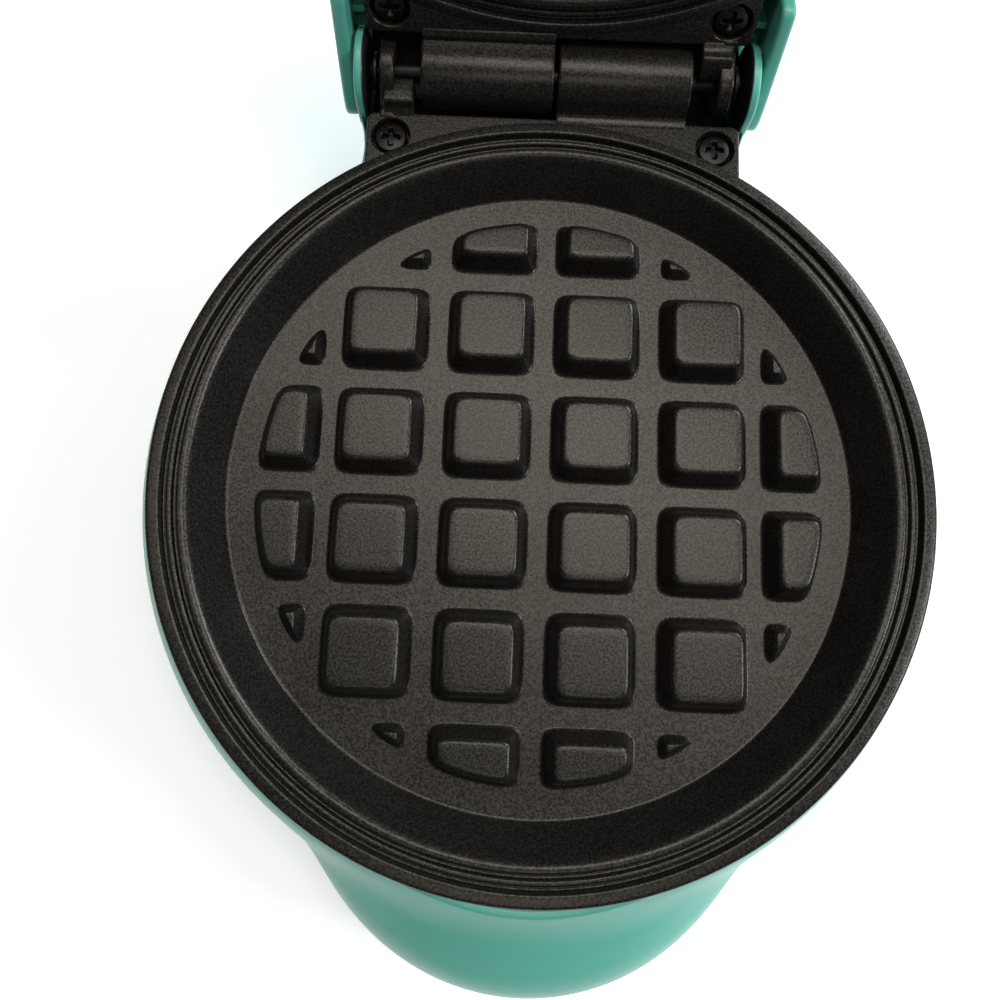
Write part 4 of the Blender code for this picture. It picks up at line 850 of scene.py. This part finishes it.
def walled(heights, reach, angles, closed_top):
    """Outer skin, round edge, inner skin one wall inside, round edge, as one looped grid."""
    order = np.argsort(heights)
    heights, reach = heights[order], reach[order]
    reach[-1] *= not closed_top
    probes = [np.stack([np.interp(heights + shift * WALL, heights, column) for column in reach.T], 1)
              for shift in (-PROBE_SHARE, 0.0, PROBE_SHARE)]
    inner = np.min(probes, axis=0) - INNER_SHARE * WALL
    low = edge_rows(heights[0], reach[0], inner[0], -1)
    if closed_top:
        scale = (heights[-1] - WALL - heights[0]) / (heights[-1] - heights[0])
        inner_heights = heights[0] + (heights - heights[0]) * scale
        levels = [(heights, reach), (inner_heights[::-1], np.maximum(inner[::-1], 0)), low]
    else:
        top = edge_rows(heights[-1], reach[-1], inner[-1], 1)
        levels = [(heights, reach), top, (heights[::-1], inner[::-1]), low]
    z = np.concatenate([level[0] for level in levels])
    r = np.concatenate([level[1] for level in levels])
    rows = np.stack([r * np.cos(angles), r * np.sin(angles), z[:, None] + 0 * r], axis=-1)
    return skin(rows, loop=True)


def edge_rows(height, outer, inner, way):
    """A half-round edge: from the outer skin to the inner one at the top, and back below."""
    turn = np.linspace(0, math.pi, 7)[1:-1]
    share = ((1 - np.cos(turn)) / 2)[:, None]
    mixed = outer * (1 - share) + inner * share
    bulge = way * EDGE_BULGE * np.sin(turn)
    return (height + bulge, mixed) if way > 0 else (height + bulge[::-1], mixed[::-1])


print("outline ready")

# %% [markdown]
# ## The base shell
# The bowl narrows to a waist, spreads to a low foot, and its lip rolls under for the fingers.
# Behind, its neck wraps the hinge as a round trough between two cheeks. The table gives shares
# of the height and of the plan's sizes from the rim down, and a smooth curve joins its rows.

# %% Base shell
BASE_NECK_HALF = 0.0323
BASE_FOOT_Z = -0.0377
BASE_TOP_Z = -SHELL_EDGE
TROUGH_RADIUS = 0.0128
CHEEK_THICKNESS = 0.0016
CHEEK_RADIUS = 0.0066
WEB_Y = 0.0583
WEB_NEAR = 0.0037
WEB_FAR = 0.0105
WEB_THICKNESS = 0.0012
OUTLET_Z = -0.0300
OUTLET_FRONT = 0.0460
OUTLET_REAR = 0.0630
OUTLET_RADIUS = 0.0065
OUTLET_CUT = (0.040, 0.080)
GLAND_RADIUS = 0.0041
TUCK_HEIGHTS = (-0.012, -0.006)
SHARED = 0.00005
APRON_SPAN = np.radians([-28, -9])
CHEEK_SPAN = (math.pi, -math.pi / 8)
CHEEK_LOW = -0.0025
CHEEK_EASES = [0, 0.0012, 0.0012, 0.0012, 0]
BASE_SHARES = [
    (0.00, 0.948, 0.780, 1.00), (0.05, 0.972, 0.800, 1.00), (0.13, 0.992, 0.858, 1.00),
    (0.20, 1.000, 0.916, 1.00), (0.28, 0.998, 0.968, 0.97), (0.38, 0.985, 0.997, 0.90),
    (0.48, 0.960, 1.000, 0.80), (0.59, 0.930, 0.974, 0.68), (0.69, 0.898, 0.903, 0.55),
    (0.78, 0.870, 0.774, 0.40), (0.87, 0.862, 0.600, 0.30), (0.94, 0.885, 0.500, 0.20),
    (1.00, 0.915, 0.500, 0.10),
]


def neck_rear(z):
    """Rear of the neck: round about the hinge line, then a slope at 45 degrees below it."""
    turn = TROUGH_RADIUS * math.sin(math.pi / 4)
    round_part = HINGE_BACK + np.sqrt(np.maximum(TROUGH_RADIUS ** 2 - z ** 2, 0))
    return np.where(-z < turn, round_part, HINGE_BACK + 2 * turn + z)


def base_skin():
    rows = through(BASE_SHARES, 72)
    heights = BASE_TOP_Z - rows[:, 0] * (BASE_TOP_Z - BASE_FOOT_Z)
    sizes = rows[:, 1:, None] * np.array([SHELL_RADIUS, LIP_REACH, BASE_NECK_HALF])[:, None]
    angles = ray_angles()
    tuck = NECK_TUCK * eased_step(heights, *TUCK_HEIGHTS)[:, None]
    rear = neck_rear(heights)[:, None]
    reach = plan_reach(angles, sizes[:, 0], sizes[:, 1], sizes[:, 2], rear, tuck)
    return walled(heights, reach, angles, closed_top=False)


def about_hinge(inner, outer, start, end, half, ease=0.0005, count=40):
    """A curved wall about the hinge line: a rounded strip (x, radius) carried through an angle."""
    strip = eased([(-half, inner), (half, inner), (half, outer), (-half, outer)], ease, closed=True)
    angles = np.linspace(start, end, count)[:, None]
    x, radius = strip[:, 0] + 0 * angles, strip[:, 1] + 0 * angles
    rows = np.stack([x, HINGE_BACK + radius * np.cos(angles), radius * np.sin(angles)], axis=-1)
    shrink = []
    for row in (rows[0], rows[-1]):
        middle = row.mean(axis=0)
        shrink.append([middle + (row - middle) * share for share in (0, 0.999)])
    return skin(np.concatenate([[shrink[0][0]], rows, [shrink[1][0]]]))


def web(side, half):
    """A wall across the neck in front of the hinge, so that nobody looks into the heaters."""
    rear = WEB_Y + WEB_THICKNESS
    view = [(WEB_Y, side * WEB_NEAR), (WEB_Y, side * WEB_FAR), (rear, side * WEB_FAR),
            (rear, side * WEB_NEAR)]
    return side_plate(eased(view, 0.0003, closed=True), -half, half, 0.0002)


def cheek_view():
    """Side view of a cheek: a half-round top about the hinge line, on a block in the rim."""
    arc = arc_about_hinge(CHEEK_RADIUS, np.linspace(*CHEEK_SPAN, 40))
    rear = HINGE_BACK + TROUGH_RADIUS - WALL / 2
    low = BASE_TOP_Z - WALL
    block = [arc[-1], (rear, CHEEK_LOW), (rear, low), (HINGE_BACK - CHEEK_RADIUS, low), arc[0]]
    return np.concatenate([arc, eased(block, CHEEK_EASES)[1:-1]])


def both_sides(view, inner, outer, ease):
    """The same side plate on the left and on the right."""
    return [side_plate(view, start, end, ease, (HINGE_BACK, 0))
            for start, end in ((-outer, -inner), (inner, outer))]


def base_shell():
    outer = BASE_NECK_HALF - SHARED
    bore = lathe(drum(GLAND_RADIUS + 0.0008, *OUTLET_CUT), 64, "y", (0, 0, OUTLET_Z))
    apron = about_hinge(TROUGH_RADIUS - WALL, TROUGH_RADIUS - 0.0001, *APRON_SPAN, outer - 0.0006)
    inside = GLAND_RADIUS + 0.0003
    tube = eased([(inside, OUTLET_FRONT), (OUTLET_RADIUS, OUTLET_FRONT),
                  (OUTLET_RADIUS, OUTLET_REAR), (inside, OUTLET_REAR)], 0.0005, closed=True)
    skins = [
        carved([base_skin()], [bore]), web(-1, outer - NECK_TUCK - 0.0005),
        *both_sides(cheek_view(), BASE_NECK_HALF - CHEEK_THICKNESS, outer, 0.0005),
        apron, lathe(tube, 64, "y", (0, 0, OUTLET_Z), loop=True),
    ]
    piece("base_case", moved(skins, on_base), TEAL, "base", ["base_shell"])


base_shell()

# %% [markdown]
# ## The lid shell
# The lid is a shallow dome on the same plan. Its sides run back as two lobes outside the base's
# cheeks, a curved cover closes over the barrels, and a small round window holds the lamp's lens.

# %% Lid shell
LID_HEIGHT = 0.0310
LID_NECK_HALF = 0.0347
LID_NECK_REAR = 0.0642
COVER_RADIUS = 0.0100
COVER_WALL = 0.0018
COVER_HALF = 0.0299
COVER_SPAN = np.radians([-20, 125])
CHEEK_GAP = 0.0004
WINDOW_CUT = (0.012, 0.034)
LOBE_RADIUS = 0.0085
LOBE_SPAN = np.radians([20, 100])
LOBE_EASES = [0, 0.0022, 0.0022, 0.0070, 0]
LOBE_DROP = 0.0025
LOBE_FRONT = 0.0520
LOBE_TOP = 0.0098
LOBE_PROUD = 0.0003
LENS_PLACE = -0.0360
LENS_RADIUS = 0.0040
LID_SHARES = [
    (0.00, 0.948, 0.780, 1.00, 1.00), (0.06, 0.972, 0.800, 1.00, 1.00),
    (0.16, 0.992, 0.858, 1.00, 1.00), (0.25, 1.000, 0.916, 1.00, 1.00),
    (0.36, 0.995, 0.968, 0.97, 0.985), (0.49, 0.968, 0.993, 0.90, 0.950),
    (0.62, 0.913, 0.987, 0.80, 0.890), (0.73, 0.835, 0.942, 0.65, 0.790),
    (0.83, 0.732, 0.852, 0.50, 0.650), (0.905, 0.606, 0.710, 0.30, 0.500),
    (0.96, 0.441, 0.600, 0.20, 0.350), (0.99, 0.236, 0.500, 0.10, 0.150),
    (1.00, 0.000, 0.000, 0.05, 0.050),
]


def lid_skin():
    rows = through(LID_SHARES, 84)
    height = LID_HEIGHT - SHELL_EDGE
    heights = np.minimum(SHELL_EDGE + rows[:, 0] * height, LID_HEIGHT)
    sizes = np.maximum(rows[:, 1:, None], 0) * np.array(
        [SHELL_RADIUS, LIP_REACH, LID_NECK_HALF, LID_NECK_REAR])[:, None]
    sizes = np.maximum(sizes, TINY / 10)
    angles = ray_angles()
    reach = plan_reach(angles, *(sizes[:, k] for k in range(4)))
    return walled(heights, reach, angles, closed_top=True)


def lobe_view():
    """Side view of a lobe: a round end about the hinge line, and a straight run forward."""
    arc = arc_about_hinge(LOBE_RADIUS, np.linspace(*LOBE_SPAN, 30))
    corners = [arc[-1], (LOBE_FRONT, LOBE_TOP), (LOBE_FRONT, -LOBE_DROP),
               (HINGE_BACK + LOBE_RADIUS, -LOBE_DROP), arc[0]]
    return np.concatenate([arc, eased(corners, LOBE_EASES, steps=14)[1:-1]])


def lid_shell():
    inner = LID_NECK_HALF - WALL + SHARED
    wide, narrow = COVER_RADIUS - COVER_WALL, CHEEK_RADIUS + CHEEK_GAP
    room = mirrored([(0, inner), (narrow, inner), (narrow, COVER_HALF), (wide, COVER_HALF)])
    room = lathe(room, 96, "x", (0, HINGE_BACK, 0))
    window = lathe(drum(LENS_RADIUS + 0.0003, *WINDOW_CUT), 64, place=(0, LENS_PLACE, 0))
    skins = [
        carved([lid_skin()], [room], [window]), web(1, inner + 0.0005),
        *both_sides(lobe_view(), inner, LID_NECK_HALF + LOBE_PROUD, 0.0007),
        about_hinge(COVER_RADIUS - COVER_WALL, COVER_RADIUS, *COVER_SPAN, COVER_HALF, count=64),
    ]
    piece("lid_case", moved(skins, on_lid), LID_TEAL, "lid", ["lid_shell"])


lid_shell()

# %% [markdown]
# ## Pin, clips, feet and cord bush
# The steel pin runs through both castings and is held by a C clip in a groove near each end. The
# base stands on four rubber feet pushed through its bottom cover, and a bush lines the cord's way
# out. All of these are turned parts, except the clips, which are flat strip bent round the pin.

# %% Turned parts
PIN_END = 0.0302
PIN_GROOVE = 0.0011
GROOVE_NEAR = 0.0287
GROOVE_FAR = 0.0299
CLIP_MIDDLE = 0.0293
CLIP_HALF = 0.00028
CLIP_RADIUS = 0.0030
CLIP_MOUTH = math.radians(35)
FOOT_PLACES = {"front_left": (-0.03124, -0.03858), "front_right": (0.03124, -0.03858),
               "rear_left": (-0.01698, 0.04664), "rear_right": (0.01698, 0.04664)}
COVER_Z = -0.0374
COVER_INNER_Z = -0.0354
TABLE_Z = -PLATE_CENTRE[2]
# Half of a foot's section: the peg's head, the peg, the pad under the cover and its dished sole.
FOOT_PAD = [
    (0, COVER_INNER_Z + 0.0010), (0.0020, COVER_INNER_Z + 0.0010), (0.0020, COVER_Z - 0.0003),
    (0.0045, COVER_Z - 0.0003), (0.0043, TABLE_Z), (0.0030, TABLE_Z), (0.0026, TABLE_Z + 0.0005),
    (0, TABLE_Z + 0.0005),
]
BUSH_SEAT = OUTLET_REAR + 0.0003
BUSH_END = BUSH_SEAT + 0.0020
BUSH_BORE = 0.0029
BUSH_FLANGE = 0.0058


def soft_finish(name, slot, shades, roughness, grain):
    """A matt finish: two close shades in cloudy patches, over a fine grain."""
    return mottled(name, slot, 0.006, shades, (roughness, 0.12), (grain, 0.12 * grain, 0.7), 4.0)


# The pin and clips get a near-black steel. This is partly their own dark steel and partly painted
# shade, because both sit in the hinge's shadowed gap.
PIN_STEEL_AND_SHADE = screw_metal("dull_pin_steel_and_shade", "steel", (0.030, 0.027, 0.024), 0.42)
RUBBER = soft_finish("foot_rubber", "rubber", ((0.030, 0.030, 0.031), (0.046, 0.045, 0.044)),
                     0.74, 0.0003)
BLACK_PLASTIC = soft_finish("black_plastic", "black_plastic",
                            ((0.020, 0.020, 0.021), (0.030, 0.030, 0.030)), 0.46, 0.0005)


def turned_parts():
    line = mirrored([(0, PIN_END), (PIN_RADIUS, PIN_END), (PIN_RADIUS, GROOVE_FAR),
                     (PIN_GROOVE, GROOVE_FAR), (PIN_GROOVE, GROOVE_NEAR), (PIN_RADIUS, GROOVE_NEAR)])
    pin = lathe(eased(line, 0.00025), 48, "x", (0, HINGE_BACK, 0))
    piece("pin", moved([pin], on_base), PIN_STEEL_AND_SHADE, "base", ["hinge_pin"])
    strip = about_hinge(PIN_GROOVE + 0.0001, CLIP_RADIUS, CLIP_MOUTH, FULL_TURN - CLIP_MOUTH,
                        CLIP_HALF, 0.0001, 48)
    for side, x in (("left", -CLIP_MIDDLE), ("right", CLIP_MIDDLE)):
        clip = moved([strip], lambda points: on_base(points + [x, 0, 0]))
        piece(f"clip_{side}", clip, PIN_STEEL_AND_SHADE, "base", [f"pin_clip_{side}"])
    for name, (x, y) in FOOT_PLACES.items():
        foot = lathe(eased(FOOT_PAD, 0.0004), 64, place=(x, y, 0))
        piece(f"rubber_foot_{name}", moved([foot], on_base), RUBBER, "base", [f"foot_{name}"])
    bush = eased([
        (BUSH_BORE, BUSH_END), (BUSH_FLANGE, BUSH_END), (BUSH_FLANGE, BUSH_SEAT),
        (GLAND_RADIUS, BUSH_SEAT), (GLAND_RADIUS, OUTLET_FRONT), (BUSH_BORE, OUTLET_FRONT),
    ], 0.0006, closed=True)
    gland = lathe(bush, 72, "y", (0, 0, OUTLET_Z), loop=True)
    piece("cord_bush", moved([gland], on_base), BLACK_PLASTIC, "base", ["cord_gland"])


turned_parts()

# %% [markdown]
# ## The bottom cover
# A flat black plate closes the base. It has a row of round-ended vents, a hole for each foot's
# peg and three plain steel screws. A pair of the same screws holds the heating elements' straps.

# %% Bottom cover and the steel screws
COVER_PLATE_RADIUS = 0.05484
VENT_COUNT = 8
VENT_PITCH = 0.0060
VENT_HALF = 0.0015
VENT_LENGTH = 0.0140
VENT_PLACE = -0.0250
PEG_HOLE = 0.0023
POST_RADIUS = 0.05003
POST_ANGLES = np.radians([-90, 20, 160])
STRAP_SCREW_Z = -0.0183


def slot_hole(x, y, half_width, length, low, high):
    """A round-ended slot through a plate: a circle whose two halves are pulled apart along y."""
    angles = turn_angles(40)
    shift = np.sign(np.sin(angles)) * (length / 2 - half_width)
    plan = np.stack([x + half_width * np.cos(angles), y + half_width * np.sin(angles) + shift], 1)
    return capped(np.array([np.c_[plan, np.full(len(plan), z)] for z in (low, high)]))


def bottom_plate():
    low, high = COVER_Z - CLEAR, COVER_INNER_Z + CLEAR
    plate = lathe(eased(drum(COVER_PLATE_RADIUS, COVER_Z, COVER_INNER_Z), 0.0005), 256)
    first = -(VENT_COUNT - 1) / 2 * VENT_PITCH
    vents = [slot_hole(first + number * VENT_PITCH, VENT_PLACE, VENT_HALF, VENT_LENGTH, low, high)
             for number in range(VENT_COUNT)]
    places = [(x, y, PEG_HOLE) for x, y in FOOT_PLACES.values()]
    places += [(x, y, SHANK_HOLE) for x, y in POSTS]
    holes = [lathe(drum(radius, low, high), 40, place=(x, y, 0)) for x, y, radius in places]
    skins = [carved([plate], vents, holes)]
    piece("bottom_plate", moved(skins, on_base), BLACK_PLASTIC, "base", ["bottom_cover"])


POSTS = [(POST_RADIUS * math.cos(angle), POST_RADIUS * math.sin(angle)) for angle in POST_ANGLES]
bottom_plate()
RISING = moved([screw(SHORT_SCREW_LENGTH)], lambda points: points * [1, -1, -1])
for number, (x, y) in enumerate(POSTS, start=1):
    fixing = moved(RISING, lambda points: on_base(points + [x, y, COVER_Z - 0.0003]))
    piece(f"base_screw_{number}", fixing, STEEL, "base", [f"cover_screw_{number}"])
twins("strap_screw", moved(RISING, lambda points: points + [0, 0, STRAP_SCREW_Z]), STEEL,
      "clamp_screw")

# %% [markdown]
# ## The indicator's lens
# A small domed lens in the lid shows that the plates are heating. Its skin is smooth and its body
# is slightly milky, so it lets light in and blurs what lies behind it.

# %% Lens
LENS_TOP_Z = 0.03078
LENS_HEIGHT = 0.0042
LENS_CROWN = 0.0008
LENS_FLANGE = 0.0054
LENS_FLANGE_HEIGHT = 0.0010
LENS = mottled("milky_lens", "lens", 0.0015, ((0.70, 0.76, 0.80), (0.86, 0.89, 0.91)),
               (0.08, 0.10), Transmission_Weight=0.6, IOR=1.49)


def lens():
    """A crown that falls with the square of the radius, a skirt, and a flange under the lid."""
    low = LENS_TOP_Z - LENS_HEIGHT
    flange = low + LENS_FLANGE_HEIGHT
    crown = [(LENS_RADIUS * t, LENS_TOP_Z - LENS_CROWN * t * t) for t in np.linspace(0, 1, 12)]
    skirt = eased([crown[-1], (LENS_RADIUS, flange), (LENS_FLANGE, flange), (LENS_FLANGE, low),
                   (0, low)], 0.0002)
    skins = [lathe(np.concatenate([crown[:-1], skirt]), 72, place=(0, LENS_PLACE, 0))]
    piece("lamp_lens", moved(skins, on_lid), LENS, "lid", ["indicator_lens"])


lens()

# %% [markdown]
# ## What the shells hide
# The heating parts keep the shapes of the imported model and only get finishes: a heat-darkened
# sheath on the elements, rolled steel on the straps and shields, glazed ceramic on the switch and
# the terminal block, and a woven sleeve on the leads. They matter when the model is opened up.

# %% Finishes of the inner parts
ALONG_Y = (1, 0.03, 1)
WEAVE_SCALE = 900.0


def rolled_steel():
    """Thin sheet with fine rolling lines along y."""
    finish = Finish("rolled_steel", "steel", Metallic=1.0)
    lines = finish.noise(0.0004, detail=4.0, stretch=ALONG_Y)
    finish.wear(Base_Color=finish.between(lines, (0.42, 0.42, 0.41), (0.60, 0.59, 0.57)),
                Roughness=0.26 + 0.2 * lines)
    finish.rough_skin(lines, 0.00001, 0.6)
    return finish


def sleeve():
    """A woven glass sleeve: two sets of waves that cross over and under each other."""
    finish = Finish("woven_sleeve", "insulation", Roughness=0.7)
    waves = [finish.node("ShaderNodeTexWave", {"bands_direction": axis}, 1, Vector=finish.place,
                         Scale=WEAVE_SCALE, Distortion=1.0) for axis in ("X", "Y")]
    weave = waves[0] * waves[1]
    finish.wear(Base_Color=finish.between(weave, (0.52, 0.50, 0.44), (0.74, 0.72, 0.66)))
    finish.rough_skin(weave, 0.0001, 0.7)
    return finish


# Hot steel takes straw and blue tints, and grows dull.
SHEATH = mottled("element_sheath", "element_sheath", 0.012, ((0.17, 0.13, 0.10), (0.22, 0.22, 0.25)),
                 (0.38, 0.2), (0.0005, 0.00002, 0.5), Metallic=1.0)
CERAMIC = soft_finish("glazed_ceramic", "ceramic", ((0.66, 0.64, 0.58), (0.78, 0.76, 0.71)),
                      0.42, 0.0008)
ROLLED, SLEEVE = rolled_steel(), sleeve()
INNER = {
    "lower_heating_element": SHEATH, "upper_heating_element": SHEATH,
    "lower_element_clamp": ROLLED, "upper_element_clamp": ROLLED,
    "lower_heat_shield": ROLLED, "upper_heat_shield": ROLLED, "thermal_fuse": ROLLED,
    "thermostat": CERAMIC, "terminal_block": CERAMIC, "indicator_lamp": LENS,
    "lead_left": SLEEVE, "lead_right": SLEEVE,
}
for node, finish in INNER.items():
    for material_slot in bpy.data.objects[node].material_slots:
        material_slot.material = finish.material
print(len(INNER), "inner parts dressed")

# %% [markdown]
# ## Table and light
# The appliance stands on a plain white table. A long soft lamp overhead lights the studs' tops, a
# cool window at the right lights their sides, and the room's ceiling is bright only at the rear
# right. The steep walls of the pan see the dim part of the room, so they look nearly black.

# %% Table, room and lamps
FLOOR_HALF = 3.0
TABLE_WHITE = (0.97, 0.97, 0.97)
TABLE_GLOW = (0.30, 0.30, 0.30)
BRIGHTEST = (0.42, 0.42, 0.805)
BRIGHT_BAND = (0.70, 0.97)
ROOM_DIM = (0.10, 0.10, 0.10)
ROOM_BRIGHT = (0.80, 0.79, 0.78)
OVER_PLATE = (0, 0, 0.04)
WARM = (1.0, 0.98, 0.95)
COOL = (0.78, 0.92, 1.0)
# Each lamp: its place, what it is aimed at, its two widths, its power and its colour.
LAMPS = {
    "ceiling_light": ((0.070, 0.208, 1.12), (-0.06, -0.03, 0.04), (0.96, 0.40), 5.1, WARM),
    "window": ((0.60, 0.42, 0.50), OVER_PLATE, (0.30, 0.30), 4.8, COOL),
    "side_lamp": ((0.60, -0.12, 0.46), OVER_PLATE, (0.22, 0.22), 2.6, (0.84, 0.94, 1.0)),
    "front_light": ((0.06, -0.58, 1.00), OVER_PLATE, (0.40, 0.30), 1.0, WARM),
    "left_light": ((-0.55, 0.08, 1.00), OVER_PLATE, (0.36, 0.36), 1.0, WARM),
}


def white_table():
    """White paint that keeps its shadows. Rays from the camera, from mirrors and through glass
    see it with a faint glow, so that it meets a white background."""
    paint = Finish("floor_paint", Roughness=0.9, Base_Color=TABLE_WHITE)
    plain = Wire(paint, paint.shader.outputs[0])
    glow = paint.node("ShaderNodeEmission", Color=TABLE_GLOW)
    glowing = paint.node("ShaderNodeAddShader", sockets={0: plain, 1: glow})
    seen = paint.node("ShaderNodeLightPath", output="Is Camera Ray")
    for ray in ("Is Glossy Ray", "Is Transmission Ray"):
        seen = seen.with_value("MAXIMUM", paint.node("ShaderNodeLightPath", output=ray))
    mixed = paint.node("ShaderNodeMixShader", sockets={0: seen, 1: plain, 2: glowing})
    paint.feed(paint.tree.nodes["Material Output"].inputs["Surface"], mixed)
    return paint.material


def floor():
    mesh = bpy.data.meshes.new("floor")
    corners = [(-FLOOR_HALF, -FLOOR_HALF, 0), (FLOOR_HALF, -FLOOR_HALF, 0),
               (FLOOR_HALF, FLOOR_HALF, 0), (-FLOOR_HALF, FLOOR_HALF, 0)]
    mesh.from_pydata(corners, [], [(0, 1, 2, 3)])
    table = linked("floor", mesh)
    mesh.materials.append(white_table())


def room():
    """A room with a bright ceiling at the rear right and dim walls. The shade of a direction
    follows its dot product with the brightest one."""
    world = bpy.data.worlds.new("room")
    bpy.context.scene.world = world
    world.use_nodes = True
    light = Network(world.node_tree)
    direction = light.node("ShaderNodeTexCoord", output="Generated")
    along = light.node("ShaderNodeVectorMath", {"operation": "DOT_PRODUCT"}, "Value",
                       {0: direction, 1: BRIGHTEST})
    shade = light.between(light.spread(along, *BRIGHT_BAND), ROOM_DIM, ROOM_BRIGHT)
    light.feed(world.node_tree.nodes["Background"].inputs["Color"], shade)


def lamp(name, place, aim, size, power, colour):
    data = bpy.data.lights.new(name, "AREA")
    data.shape = "ELLIPSE"
    data.size, data.size_y = size
    data.energy = power
    data.color = colour
    obj = linked(name, data)
    obj.location = place
    obj.rotation_euler = Vector(np.subtract(aim, place)).to_track_quat("-Z", "Y").to_euler()


floor()
room()
for name, setting in LAMPS.items():
    lamp(name, *setting)
print(len(LAMPS), "lamps")

# %% [markdown]
# ## The camera
# The photograph was taken from almost straight above, close to the plates. The place, the turn
# and the focal length below were worked out from the round rims, the studs and the hinge.

# %% Camera
CAMERA_BACK = np.array([-0.00812, -0.01924, 0.13504])
CAMERA_TURN = (0.182, -0.007, 0.042)
FOCAL_PIXELS = 903.2
MIDDLE_PIXEL = (489.1, 445.8)
PICTURE = 1000
SENSOR = 36.0
NEAREST = 0.005


def camera():
    data = bpy.data.cameras.new("camera")
    data.sensor_width = SENSOR
    data.lens = FOCAL_PIXELS / PICTURE * SENSOR
    data.shift_x = (PICTURE / 2 - MIDDLE_PIXEL[0]) / PICTURE
    data.shift_y = (MIDDLE_PIXEL[1] - PICTURE / 2) / PICTURE
    data.clip_start = NEAREST
    obj = linked("camera", data)
    obj.location = on_base(CAMERA_BACK)
    obj.rotation_euler = CAMERA_TURN
    bpy.context.scene.camera = obj


camera()
bpy.context.scene.view_settings.view_transform = "Standard"
print("camera at", on_base(CAMERA_BACK))
